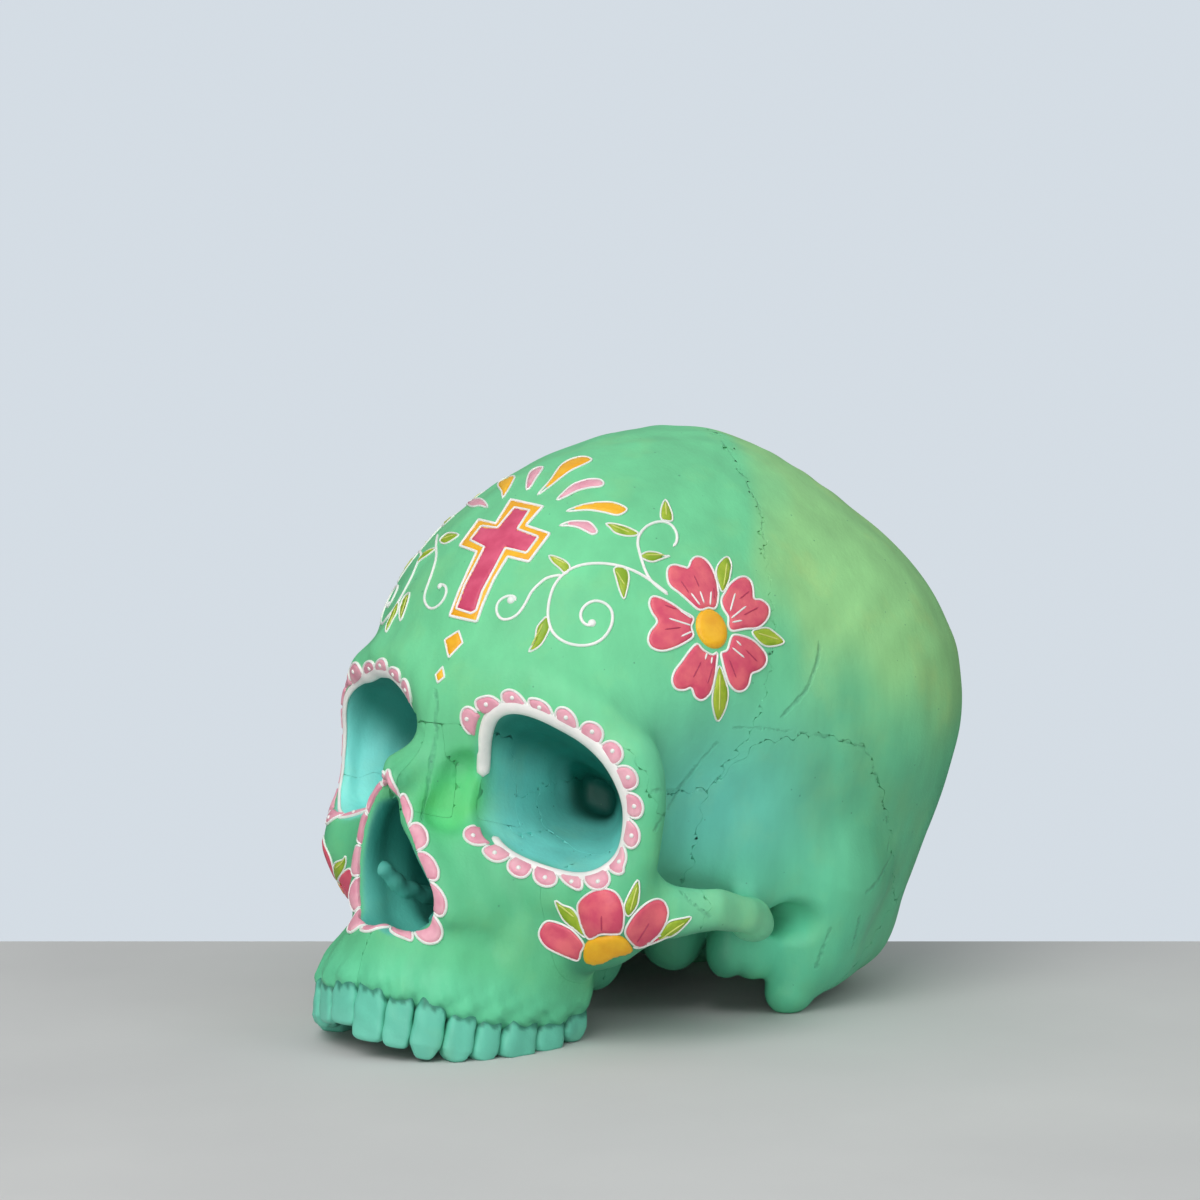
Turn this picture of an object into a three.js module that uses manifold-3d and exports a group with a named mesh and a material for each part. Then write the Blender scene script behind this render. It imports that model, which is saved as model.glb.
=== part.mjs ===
// Painted sugar skull: a life-size human cranium without its lower jaw, put together from its
// separate bones and upper teeth, with a raised white bead laid round each eye socket.
import * as THREE from "three";
import { mergeVertices } from "three/addons/utils/BufferGeometryUtils.js";
import Module from "manifold-3d";

// Skull frame: millimetres and degrees, origin midway between the ear holes, +X the skull's own
// left, -Y the face, +Z the crown. The finished group leans back until teeth and occiput rest.

// Rest on a table
const restTilt = 15;
const restHeight = 32;

// Fit between pieces
const seamGap = 0.4;
const socketGap = 0.35;
const toothGap = 0.5;

// Braincase: four blended swellings and the skull base
const crownHalfBreadth = 59.6;
const crownHalfLength = 63.5;
const crownHalfHeight = 71;
const crownY = -2.3;
const crownZ = 53.3;
const foreheadHalfBreadth = 57;
const foreheadHalfLength = 56.3;
const foreheadHalfHeight = 60.5;
const foreheadY = -37.5;
const foreheadZ = 40;
const occiputHalfBreadth = 58.9;
const occiputHalfLength = 40.2;
const occiputHalfHeight = 52.2;
const occiputY = 35.4;
const occiputZ = 17.6;
const bossRadius = 42.9;
const bossX = 30.4;
const bossY = 21;
const bossZ = 58.1;
const baseHalfBreadth = 57;
const baseHalfLength = 56;
const baseHalfHeight = 30;
const baseY = 5;
const baseZ = 8;
const baseDepth = 18;
const baseRise = 0.1;
const nuchalSlope = 21;
const nuchalY = 50;
const nuchalCup = 0.003;
const bulgeX = 18;
const bulgeHalfBreadth = 20;
const bulgeHalfLength = 24;
const bulgeHalfHeight = 16;
const braincaseWall = 7;
const baseThickness = 12;
const foramenWidth = 30;
const foramenLength = 36;
const foramenY = 17;
const earHoleWidth = 8;
const earHoleDepth = 12;

// Mastoid, cheek arch, jaw-joint lump and the wings behind the palate
const mastoidX = 51.5;
const mastoidY = 7;
const mastoidLength = 32.5;
const mastoidRootRadius = 15;
const mastoidTipRadius = 6;
const archHeight = 11;
const archThickness = 7.4;
const archReach = 64.5;
const archZ = -10;
const jointLumpX = 54;
const jointLumpY = -17;
const jointLumpHalf = 5;
const wingX = 13;
const wingY = -44;
const wingLength = 29;
const wingRootRadius = 7.5;
const wingTipRadius = 4;
const wingFlatness = 1.4;

// Hollows of the temple and below the cheek
const templeX = 70;
const templeY = -50;
const templeHalfBreadth = 27;
const templeHalfLength = 26;
const templeHalfHeight = 34;
const underCheekX = 48;
const underCheekY = -42;
const underCheekZ = -30;
const underCheekHalf = 27;

// Eye sockets
const orbitWidth = 38.8;
const orbitHeight = 37.2;
const orbitDepth = 45.7;
const orbitX = 30.8;
const orbitY = -77.5;
const orbitZ = 15;
const orbitTurn = 24.4;
const orbitRise = 3.8;
const orbitDroop = 0.27;
const orbitSquareness = 2.6;
const orbitApex = 0.2;
const rimThickness = 10;
const socketWallThickness = 5;
const beadWidth = 3;
const beadOpening = 40;
const beadOpeningAngle = 208;

// Nose
const noseWidth = 27;
const noseHeight = 33;
const noseTopZ = 7;
const noseBridgeY = -96;
const noseDepth = 56;
const septumThickness = 3;
const conchaRadius = 3.4;

// Cheek and jaw
const cheekHalfBreadth = 10.5;
const cheekHalfLength = 10;
const cheekHalfHeight = 14;
const cheekZ = -14;
const jawBodyX = 19.5;
const jawBodyY = -66;
const jawBodyZ = -22;
const jawBodyHalfBreadth = 18.5;
const jawBodyHalfLength = 21;
const jawBodyHalfHeight = 24;
const palateHalfWidth = 18;
const palateY = -78;
const palateZ = -28;
const palateHalfThickness = 11;
const jawHalfWidth = 29;
const jawDepth = 47.2;
const jawBackY = -53;
const jawSquareness = 2.4;
const jawThickness = 15.2;
const toothRoot = 8;
const toothRootLean = 0.3;
const toothSquareness = 3.4;

// Sutures: their meeting points at the side and back, and the depth of their serration
const pterionY = -38;
const pterionZ = 22;
const squamaTopZ = 43;
const asterionZ = 4;
const lambdaZ = 92;
const serration = 3;
const petrousX = 20;

// Width over which one mass melts into the next
const vaultBlend = 25;
const baseBlend = 20;
const floorBlend = 15;
const hollowBlend = 18;
const lumpBlend = 10;
const rimBlend = 8;
const edgeBlend = 5;

// Skin fineness: spacing of the samples over the face and over the smooth back and crown
const faceCell = 7;
const vaultCell = 17;

const colours = {
  bone: 0x5fcf8c,
  vault: 0x86c874,
  socket: 0x2f9f8f,
  tooth: 0x56c3a0,
  bead: 0xf2f0ea,
};

const wasm = await Module();
wasm.setup();

// A closed geometry as a solid that can be joined and cut.
function solid(geometry) {
  const bare = new THREE.BufferGeometry();
  bare.setAttribute("position", geometry.getAttribute("position").clone());
  bare.setIndex(geometry.index);
  const merged = mergeVertices(bare, 1e-3);
  const corners = merged.index.array;
  const kept = [];
  for (let i = 0; i < corners.length; i += 3) {
    const [a, b, c] = [corners[i], corners[i + 1], corners[i + 2]];
    if (a !== b && b !== c && c !== a) kept.push(a, b, c);
  }
  const vertProperties = new Float32Array(merged.getAttribute("position").array);
  const triVerts = new Uint32Array(kept);
  return new wasm.Manifold(new wasm.Mesh({ numProp: 3, vertProperties, triVerts }));
}

// The largest connected body of a solid, as a geometry; crumbs left by a seam are dropped.
function bodyGeometry(form) {
  const { vertProperties, triVerts, numProp } = form.getMesh();
  const raw = new THREE.BufferGeometry();
  const points = new Float32Array((vertProperties.length / numProp) * 3);
  for (let i = 0; i < points.length / 3; i++) {
    points.set(vertProperties.subarray(i * numProp, i * numProp + 3), i * 3);
  }
  raw.setAttribute("position", new THREE.BufferAttribute(points, 3));
  raw.setIndex(Array.from(triVerts));
  const parent = Array.from({ length: points.length / 3 }, (_, i) => i);
  const find = (i) => {
    while (parent[i] !== i) i = parent[i] = parent[parent[i]];
    return i;
  };
  for (let i = 0; i < triVerts.length; i += 3) {
    parent[find(triVerts[i + 1])] = find(triVerts[i]);
    parent[find(triVerts[i + 2])] = find(triVerts[i]);
  }
  const volumes = new Map();
  const corner = [new THREE.Vector3(), new THREE.Vector3(), new THREE.Vector3()];
  for (let i = 0; i < triVerts.length; i += 3) {
    corner.forEach((v, k) => v.fromArray(points, triVerts[i + k] * 3));
    const share = corner[0].dot(corner[1].cross(corner[2])) / 6;
    const body = find(triVerts[i]);
    volumes.set(body, (volumes.get(body) ?? 0) + share);
  }
  const largest = [...volumes].sort((a, b) => b[1] - a[1])[0][0];
  raw.setIndex(raw.index.array.reduce((list, vertex, i) => {
    if (find(triVerts[i - (i % 3)]) === largest) list.push(vertex);
    return list;
  }, []));
  return raw;
}

// Distance-like fields of the simple masses: below zero inside.
function ellipsoid(p, centre, half) {
  const q = [0, 1, 2].map((i) => (p[i] - centre[i]) / half[i]);
  const near = Math.hypot(...q);
  const slope = Math.hypot(...q.map((v, i) => v / half[i])) + 1e-9;
  return (near * (near - 1)) / slope;
}

function taperedBar(p, a, b, radiusA, radiusB, flatness = 1) {
  const stretch = [flatness, 1, 1];
  const q = p.map((v, i) => (v - a[i]) * stretch[i]);
  const d = b.map((v, i) => (v - a[i]) * stretch[i]);
  const along = (q[0] * d[0] + q[1] * d[1] + q[2] * d[2]) / (d[0] ** 2 + d[1] ** 2 + d[2] ** 2);
  const h = Math.min(1, Math.max(0, along));
  const reach = Math.hypot(q[0] - h * d[0], q[1] - h * d[1], q[2] - h * d[2]);
  return (reach - radiusA - (radiusB - radiusA) * h) / flatness;
}

// A run of tapered bars through [x, y, z, radius] stations.
function ridge(p, stations, flatness = 1) {
  let least = Infinity;
  for (let i = 1; i < stations.length; i++) {
    const [a, b] = [stations[i - 1], stations[i]];
    least = Math.min(least, taperedBar(p, a, b, a[3], b[3], flatness));
  }
  return least;
}

function blend(a, b, width) {
  const h = Math.max(width - Math.abs(a - b), 0) / width;
  return Math.min(a, b) - (h * h * width) / 4;
}

function carve(a, b, width) {
  return -blend(-a, b, width);
}

// Axes of the left eye socket: inward along the cone, outward to the temple, and up.
const radians = THREE.MathUtils.degToRad;
const socketIn = new THREE.Vector3(
  -Math.sin(radians(orbitTurn)) * Math.cos(radians(orbitRise)),
  Math.cos(radians(orbitTurn)) * Math.cos(radians(orbitRise)),
  Math.sin(radians(orbitRise)),
);
const socketOut = new THREE.Vector3(Math.cos(radians(orbitTurn)), Math.sin(radians(orbitTurn)), 0);
const socketUp = new THREE.Vector3().crossVectors(socketOut, socketIn);
const socketCentre = new THREE.Vector3(orbitX, orbitY, orbitZ);

// A point by the socket: sideways and up in half-sizes of the opening, inward in millimetres.
function bySocket(sideways, up, inward) {
  return socketCentre
    .clone()
    .addScaledVector(socketOut, sideways * (orbitWidth / 2))
    .addScaledVector(socketUp, up * (orbitHeight / 2))
    .addScaledVector(socketIn, inward)
    .toArray();
}

// The bony ring round the socket: brow, side, floor and nose-side rims, a half-thickness outside.
const rimHalf = rimThickness / 2;
const rimStation = (sideways, up, inward, radius) => [...bySocket(sideways, up, inward), radius];
const brow = [
  rimStation(-1.46, 0.96, 3.6, rimHalf + 1),
  rimStation(-0.93, 1.16, -0.3, rimHalf + 0.6),
  rimStation(-0.28, 1.28, -3.7, rimHalf),
  rimStation(0.46, 1.01, -3.9, rimHalf - 0.2),
  rimStation(1.04, 0.38, -1.5, rimHalf),
];
const sideRim = [
  rimStation(1.04, 0.49, -1.4, rimHalf - 0.4),
  rimStation(1.28, -0.16, -1.6, rimHalf - 0.7),
  rimStation(1.27, -0.81, -0.6, rimHalf),
  rimStation(1.1, -1.3, 1.4, rimHalf + 2),
];
const floorRim = [
  rimStation(1.01, -1.29, 0, rimHalf),
  rimStation(0.28, -1.4, 0.2, rimHalf),
  rimStation(-0.45, -1.24, 0.7, rimHalf),
  rimStation(-0.96, -0.61, 3.8, rimHalf - 0.5),
];
const noseRim = [
  rimStation(-1.18, 0.72, 10.7, rimHalf + 0.5),
  rimStation(-1.06, -0.09, 9.8, rimHalf - 0.6),
  rimStation(-0.94, -1.14, 2.5, rimHalf + 0.5),
];
const cheekCentre = [bySocket(0.87, 0, 6.9)[0], bySocket(0.87, 0, 6.9)[1], cheekZ];

// Nose: the roof of the two nasal bones, and the edge of the opening below them.
const noseHalf = noseWidth / 2;
const noseBaseZ = noseTopZ - noseHeight;
const noseRoof = [
  [0.5, noseBridgeY + 13.5, noseTopZ + 22, 6],
  [1.5, noseBridgeY + 7.5, noseTopZ + 11, 4.8],
  [4, noseBridgeY, noseTopZ + 1.5, 4.4],
];
const noseEdge = [
  [4, noseBridgeY + 12, noseTopZ + 11, 3.6],
  [noseHalf - 4.5, noseBridgeY + 4, noseTopZ - 3, 3.6],
  [noseHalf, noseBridgeY + 3, noseTopZ - 15, 4],
  [noseHalf + 3, noseBridgeY + 6.5, noseBaseZ + 6, 5],
];

// The tooth row is a rounded-square arch; each tooth has its width, depth, neck and tip heights.
const teeth = [
  { name: "central_incisor", width: 8.7, depth: 7, neck: -42, tip: -55.4, edge: 0.45, point: 0.92 },
  { name: "lateral_incisor", width: 7, depth: 6.6, neck: -42.6, tip: -55.8, edge: 0.5, point: 0.88 },
  { name: "canine", width: 7.8, depth: 8.2, neck: -43.4, tip: -57.4, edge: 0.6, point: 0.6 },
  { name: "first_premolar", width: 7.2, depth: 9, neck: -44.6, tip: -57, edge: 0.8, point: 0.82 },
  { name: "second_premolar", width: 7, depth: 9, neck: -44.8, tip: -56, edge: 0.85, point: 0.84 },
  { name: "first_molar", width: 10, depth: 10.6, neck: -44, tip: -54.6, edge: 0.92, point: 0.92 },
  { name: "second_molar", width: 9.6, depth: 10.2, neck: -42, tip: -51.9, edge: 0.92, point: 0.9 },
  { name: "third_molar", width: 8, depth: 9, neck: -38.5, tip: -47.6, edge: 0.9, point: 0.86 },
];

function rowPoint(angle) {
  const power = 2 / jawSquareness;
  const x = jawHalfWidth * Math.abs(Math.sin(angle)) ** power;
  const y = jawBackY - jawDepth * Math.abs(Math.cos(angle)) ** power;
  return new THREE.Vector2(x, y);
}

const rowSteps = 900;
let rowLength = 0;
let rowReach = 0;
let lastPoint = rowPoint(0);
let rowIndex = 1;
for (const tooth of teeth) {
  const wanted = rowReach + tooth.width / 2;
  while (rowLength < wanted && rowIndex <= rowSteps) {
    const next = rowPoint((rowIndex / rowSteps) * (Math.PI / 2));
    rowLength += next.distanceTo(lastPoint);
    tooth.heading = next.clone().sub(lastPoint).angle();
    lastPoint = next;
    rowIndex += 1;
  }
  tooth.x = lastPoint.x;
  tooth.y = lastPoint.y + Math.max(0, wanted - rowLength);
  rowReach += tooth.width;
}

// The gum ridge follows the tooth row, a little inside and above it.
const jawHalfThickness = jawThickness / 2;
const ridgeInset = 5;
const ridgeDrop = 3.2;
const jawRidge = teeth
  .filter(({ name }) => name !== "second_premolar")
  .map(({ x, y, neck }) => {
    const back = (y - jawBackY + jawDepth) / jawDepth;
    const ridgeY = y + ridgeInset * (1 - back / 3);
    return [x * 0.9, ridgeY, neck + jawHalfThickness - ridgeDrop, jawHalfThickness];
  });
jawRidge.unshift([0, jawRidge[0][1] - 0.4, jawRidge[0][2], jawHalfThickness]);

const archHalf = archHeight / 2;
const cheekArch = [
  [cheekCentre[0] + 6, cheekCentre[1] - 0.5, archZ - 4, archHalf + 2.8],
  [archReach - 6.5, cheekCentre[1] + 8.5, archZ - 3.5, archHalf + 0.8],
  [archReach - 1.5, cheekCentre[1] + 18.5, archZ - 2, archHalf],
  [archReach, cheekCentre[1] + 31.5, archZ, archHalf],
  [archReach - 3.5, cheekCentre[1] + 45.5, archZ + 4, archHalf + 0.8],
  [archReach - 8.5, cheekCentre[1] + 58.5, archZ + 9, archHalf + 1.8],
];

// Centres and half-sizes of the plain masses.
const crown = [[0, crownY, crownZ], [crownHalfBreadth, crownHalfLength, crownHalfHeight]];
const forehead = [
  [0, foreheadY, foreheadZ],
  [foreheadHalfBreadth, foreheadHalfLength, foreheadHalfHeight],
];
const occiput = [
  [0, occiputY, occiputZ],
  [occiputHalfBreadth, occiputHalfLength, occiputHalfHeight],
];
const boss = [[bossX, bossY, bossZ], [bossRadius, bossRadius, bossRadius]];
const base = [[0, baseY, baseZ], [baseHalfBreadth, baseHalfLength, baseHalfHeight]];
const bulge = [
  [bulgeX, nuchalY - 4, 13 - baseDepth],
  [bulgeHalfBreadth, bulgeHalfLength, bulgeHalfHeight],
];
const temple = [[templeX, templeY, 0], [templeHalfBreadth, templeHalfLength, templeHalfHeight]];
const underCheek = [
  [underCheekX, underCheekY, underCheekZ],
  [underCheekHalf, underCheekHalf + 3, underCheekHalf],
];
const cheek = [cheekCentre, [cheekHalfBreadth, cheekHalfLength, cheekHalfHeight]];
const jawBody = [
  [jawBodyX, jawBodyY, jawBodyZ],
  [jawBodyHalfBreadth, jawBodyHalfLength, jawBodyHalfHeight],
];
const palate = [[0, palateY, palateZ], [palateHalfWidth, palateHalfWidth + 3, palateHalfThickness]];
const jointLump = [[jointLumpX, jointLumpY, archZ], [jointLumpHalf + 4, jointLumpHalf, jointLumpHalf]];
const mastoidRoot = [mastoidX + 2.5, mastoidY + 5, 4];
const mastoidTip = [mastoidX, mastoidY, mastoidTipRadius - mastoidLength];
const wingRoot = [wingX, wingY, -5];
const wingTip = [wingX + 3, wingY - 2, wingRoot[2] - wingLength];

// The outer form of the whole skull, mirrored about X = 0; the middle of each cheek arch is
// joined on later.
function skullField(x, y, z) {
  const p = [Math.abs(x), y, z];
  let d = ellipsoid(p, ...crown);
  d = blend(d, ellipsoid(p, ...forehead), vaultBlend);
  d = blend(d, ellipsoid(p, ...occiput), vaultBlend);
  d = blend(d, ellipsoid(p, ...boss), vaultBlend);
  d = blend(d, ellipsoid(p, ...base), baseBlend);
  const rise = radians(nuchalSlope);
  const nuchal = Math.sin(rise) * (y - nuchalY) - Math.cos(rise) * (z + baseDepth);
  d = carve(d, -nuchal - nuchalCup * x * x, floorBlend);
  d = carve(d, z + baseDepth + baseRise * (y - foramenY), floorBlend);
  d = blend(d, ellipsoid(p, ...bulge), lumpBlend);
  d = carve(d, ellipsoid(p, ...temple), hollowBlend);
  d = carve(d, ellipsoid(p, ...underCheek), lumpBlend);
  d = blend(d, socketWall(p), edgeBlend);
  d = blend(d, ridge(p, brow), lumpBlend);
  let face = ridge(p, sideRim);
  face = blend(face, ellipsoid(p, ...cheek), rimBlend);
  face = blend(face, ridge(p, floorRim), rimBlend);
  face = blend(face, ridge(p, noseRim), edgeBlend);
  face = blend(face, blend(ridge(p, noseRoof), ridge(p, noseEdge), edgeBlend), edgeBlend);
  face = blend(face, ellipsoid(p, ...jawBody), lumpBlend);
  face = blend(face, ridge(p, jawRidge), rimBlend);
  face = blend(face, ellipsoid(p, ...palate), rimBlend);
  d = blend(d, face, rimBlend);
  const archFlatness = archHeight / archThickness;
  d = blend(d, ridge(p, cheekArch.slice(0, 2), archFlatness), rimBlend);
  d = blend(d, ridge(p, cheekArch.slice(-2), archFlatness), rimBlend);
  d = blend(d, taperedBar(p, mastoidRoot, mastoidTip, mastoidRootRadius, mastoidTipRadius), lumpBlend);
  d = blend(d, ellipsoid(p, ...jointLump), edgeBlend);
  return blend(d, taperedBar(p, wingRoot, wingTip, wingRootRadius, wingTipRadius, wingFlatness), rimBlend);
}

// The thin cone of bone behind the socket, which closes it from the temple.
function socketWall(p) {
  const q = new THREE.Vector3(...p).sub(socketCentre);
  const depth = q.dot(socketIn);
  const u = q.dot(socketOut);
  const v = q.dot(socketUp) + orbitDroop * u;
  const size = socketSize(depth);
  const half = [orbitWidth / 2 + socketWallThickness, orbitHeight / 2 + socketWallThickness];
  const around = superRadius(u / (half[0] * size), v / (half[1] * size), orbitSquareness);
  const cone = (around - 1) * Math.min(...half) * size;
  return carve(cone, Math.min(depth + 1, orbitDepth - depth), edgeBlend);
}

function superRadius(a, b, power) {
  return (Math.abs(a) ** power + Math.abs(b) ** power) ** (1 / power);
}

function socketSize(depth) {
  const share = Math.min(1, Math.max(0, depth / orbitDepth));
  return 1 - (1 - orbitApex) * share;
}

// Sample places along one axis, each spaced from the last by a rule.
function sampleLine(from, to, spacing) {
  const line = [from];
  while (line.at(-1) < to) line.push(line.at(-1) + spacing(line.at(-1)));
  return line;
}

// The faceted skin of a field: one vertex in each cell that the surface passes, joined by quads.
function skin(field, lines) {
  const count = lines.map((list) => list.length);
  const at = (i, j, k) => (i * count[1] + j) * count[2] + k;
  const values = new Float32Array(count[0] * count[1] * count[2]);
  for (let i = 0; i < count[0]; i++) {
    for (let j = 0; j < count[1]; j++) {
      for (let k = 0; k < count[2]; k++) {
        values[at(i, j, k)] = field(lines[0][i], lines[1][j], lines[2][k]);
      }
    }
  }
  settle(values, count, at);
  const vertexOf = new Map();
  const points = [];
  const triangles = [];
  const vertex = (i, j, k) => {
    const key = at(i, j, k);
    if (vertexOf.has(key)) return vertexOf.get(key);
    const sum = [0, 0, 0];
    let crossings = 0;
    for (let axis = 0; axis < 3; axis++) {
      for (let side = 0; side < 4; side++) {
        const a = [i, j, k];
        a[(axis + 1) % 3] += side & 1;
        a[(axis + 2) % 3] += side >> 1;
        const b = [...a];
        b[axis] += 1;
        const [fa, fb] = [values[at(...a)], values[at(...b)]];
        if (fa < 0 === fb < 0) continue;
        const share = fa / (fa - fb);
        lines.forEach((list, n) => (sum[n] += list[a[n]] + (list[b[n]] - list[a[n]]) * share));
        crossings += 1;
      }
    }
    const index = points.length / 3;
    points.push(...ontoSurface(field, sum.map((v) => v / crossings)));
    vertexOf.set(key, index);
    return index;
  };
  for (let axis = 0; axis < 3; axis++) {
    const [u, v] = [(axis + 1) % 3, (axis + 2) % 3];
    const c = [0, 0, 0];
    for (c[axis] = 0; c[axis] < count[axis] - 1; c[axis]++) {
      for (c[u] = 1; c[u] < count[u] - 1; c[u]++) {
        for (c[v] = 1; c[v] < count[v] - 1; c[v]++) {
          const next = [...c];
          next[axis] += 1;
          const inside = values[at(...c)] < 0;
          if (inside === values[at(...next)] < 0) continue;
          const quad = [[1, 1], [0, 1], [0, 0], [1, 0]].map(([du, dv]) => {
            const cellAt = [...c];
            cellAt[u] -= du;
            cellAt[v] -= dv;
            return vertex(...cellAt);
          });
          if (!inside) quad.reverse();
          triangles.push(quad[0], quad[1], quad[2], quad[0], quad[2], quad[3]);
        }
      }
    }
  }
  const geometry = new THREE.BufferGeometry();
  geometry.setAttribute("position", new THREE.Float32BufferAttribute(points, 3));
  geometry.setIndex(triangles);
  return geometry;
}

// A point near the surface, moved onto it along the field's slope by at most half a cell.
function ontoSurface(field, start) {
  const probe = faceCell / 60;
  let point = start;
  for (let step = 0; step < 3; step++) {
    const value = field(...point);
    const slope = point.map((_, i) => {
      const beside = point.map((v, n) => (n === i ? v + probe : v));
      return (field(...beside) - value) / probe;
    });
    const steepness = slope[0] ** 2 + slope[1] ** 2 + slope[2] ** 2 + 1e-6;
    point = point.map((v, i) => v - (slope[i] * value) / steepness);
  }
  const away = Math.hypot(...point.map((v, i) => v - start[i]));
  const share = Math.min(1, faceCell / 2 / Math.max(away, 1e-6));
  return start.map((v, i) => v + (point[i] - v) * share);
}

// Where four neighbouring samples alternate in and out, the weakest one changes side, so that
// the skin never touches itself along an edge.
function settle(values, count, at) {
  const push = faceCell / 4;
  for (let pass = 0, changed = true; changed && pass < 12; pass++) {
    changed = false;
    for (let axis = 0; axis < 3; axis++) {
      const [u, v] = [(axis + 1) % 3, (axis + 2) % 3];
      const c = [0, 0, 0];
      for (c[axis] = 0; c[axis] < count[axis]; c[axis]++) {
        for (c[u] = 0; c[u] < count[u] - 1; c[u]++) {
          for (c[v] = 0; c[v] < count[v] - 1; c[v]++) {
            const ring = [[0, 0], [1, 0], [1, 1], [0, 1]].map(([du, dv]) => {
              const corner = [...c];
              corner[u] += du;
              corner[v] += dv;
              return at(...corner);
            });
            const inside = ring.map((n) => values[n] < 0);
            const alternates = inside[0] === inside[2] && inside[1] === inside[3];
            if (!alternates || inside[0] === inside[1]) continue;
            const weakest = ring.reduce((a, b) => (Math.abs(values[b]) < Math.abs(values[a]) ? b : a));
            values[weakest] = values[weakest] < 0 ? push : -push;
            changed = true;
          }
        }
      }
    }
  }
}

// A prism over an outline: "side" outlines are [y, z] and run along X, "front" outlines are
// [x, z] and run along Y, "top" outlines are [x, y] and run along Z.
const prismAxes = {
  side: new THREE.Matrix4().set(0, 0, 1, 0, 1, 0, 0, 0, 0, 1, 0, 0, 0, 0, 0, 1),
  front: new THREE.Matrix4().set(1, 0, 0, 0, 0, 0, -1, 0, 0, 1, 0, 0, 0, 0, 0, 1),
  top: new THREE.Matrix4(),
};

function prism(view, outline, from, to, grow = 0) {
  const shape = new THREE.Shape(spread(outline, grow));
  const options = { depth: to - from + 2 * grow, bevelEnabled: false };
  const geometry = new THREE.ExtrudeGeometry(shape, options);
  geometry.translate(0, 0, (view === "front" ? -to : from) - grow);
  geometry.applyMatrix4(prismAxes[view]);
  return solid(geometry);
}

// An outline moved outward by a distance, corner by corner.
function spread(outline, distance) {
  const points = outline.map(([a, b]) => new THREE.Vector2(a, b));
  if (THREE.ShapeUtils.isClockWise(points)) points.reverse();
  const count = points.length;
  return points.map((point, i) => {
    const before = point.clone().sub(points[(i + count - 1) % count]).normalize();
    const after = points[(i + 1) % count].clone().sub(point).normalize();
    const normal = new THREE.Vector2(before.y + after.y, -before.x - after.x).normalize();
    const lean = Math.max(0.4, normal.x * after.y - normal.y * after.x);
    return point.clone().addScaledVector(normal, distance / lean);
  });
}

// A serrated suture line from a to b, with that many teeth of that depth.
function suture(a, b, count, depth) {
  const run = [b[0] - a[0], b[1] - a[1]];
  const length = Math.hypot(...run);
  const normal = [-run[1] / length, run[0] / length];
  return Array.from({ length: 2 * count }, (_, i) => {
    const along = i / (2 * count);
    const off = i === 0 ? 0 : (i % 2 ? depth : -depth) / 2;
    return [a[0] + run[0] * along + normal[0] * off, a[1] + run[1] * along + normal[1] * off];
  });
}

const reach = 200;
const mirrored = (outline, side) => outline.map(([a, b]) => [a * side, b]);

// Meeting points of the sutures in the side view, [y, z].
const bregma = [crownY - 6, crownZ + crownHalfHeight + 20];
const pterion = [pterionY, pterionZ];
const socketCorner = [bySocket(1.2, 0, 0)[1] - 1, orbitZ - 4];
const nasion = noseTopZ + 19;
const asterion = [occiputY + 6, asterionZ];
const lambda = [occiputY + occiputHalfLength + 12, lambdaZ];
const aboveLambda = [reach, lambdaZ + 60];
const basionY = foramenY - foramenLength / 2 - 14;
const coronalTeeth = 7;
const lambdoidTeeth = 6;

// Bone outlines in the side view, [y, z], and in the top view, [x, y].
const frontalOutline = [
  ...suture(bregma, pterion, coronalTeeth, serration),
  pterion,
  [pterionY - 22, pterionZ - 6],
  socketCorner,
  [socketCorner[0] - 8, nasion],
  [-reach, nasion],
  [-reach, reach],
  [bregma[0], reach],
];
const squamous = [
  pterion,
  [pterionY + 6, squamaTopZ - 9],
  [pterionY + 22, squamaTopZ],
  [pterionY + 42, squamaTopZ],
  [asterion[0] - 21, squamaTopZ - 9],
  [asterion[0] - 11, squamaTopZ - 25],
];
const parietalOutline = [
  ...suture(pterion, bregma, coronalTeeth, -serration),
  bregma,
  [bregma[0], reach],
  [reach, reach],
  aboveLambda,
  ...suture(lambda, asterion, lambdoidTeeth, serration),
  asterion,
  ...squamous.slice(1).reverse(),
];
const occipitalOutline = [
  ...suture(asterion, lambda, lambdoidTeeth, -serration),
  lambda,
  aboveLambda,
  [reach, -reach],
  [foramenY - 3, -reach],
  [foramenY + 3, -baseDepth - 2],
];
const occipitalFront = [
  [-petrousX, reach],
  [-petrousX, basionY],
  [petrousX, basionY],
  [petrousX, reach],
];
const temporalFrontY = pterionY + 10;
const temporalOutline = [
  ...squamous,
  asterion,
  [asterion[0] - 11, -reach],
  [temporalFrontY - 2, -reach],
  [temporalFrontY, archZ - 2],
];
const archSeamY = cheekCentre[1] + 12;
const archSeamSlant = 3;
const archTopZ = archZ + 14;
const archOutline = [
  [archSeamY + archSeamSlant, archTopZ],
  [archSeamY - archSeamSlant, -reach],
  [jointLumpY - 3, -reach],
  [jointLumpY - 3, archTopZ],
];
const sphenoidOutline = [
  [basionY + 1, -reach],
  [basionY + 1, pterionZ + 16],
  [pterionY - 22, pterionZ + 16],
  [pterionY - 23, archZ + 2],
  [wingY - 2, archZ - 6],
  [wingY - 8, -reach],
];
const insideArchX = archReach - 15;

// One half of the skull across X, with a serrated midline seam.
function leftHalf(grow) {
  const seam = suture([0, reach], [0, -reach], 26, -serration);
  return prism("top", [...seam, [0, -reach], [reach, -reach], [reach, reach]], -reach, reach, grow);
}

// A side outline run outward between two distances off the midline, on one side of the skull.
function beside(from, to, outline, grow, sign) {
  const ends = sign > 0 ? [from, to] : [-to, -from];
  return prism("side", outline, ...ends, grow);
}

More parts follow.
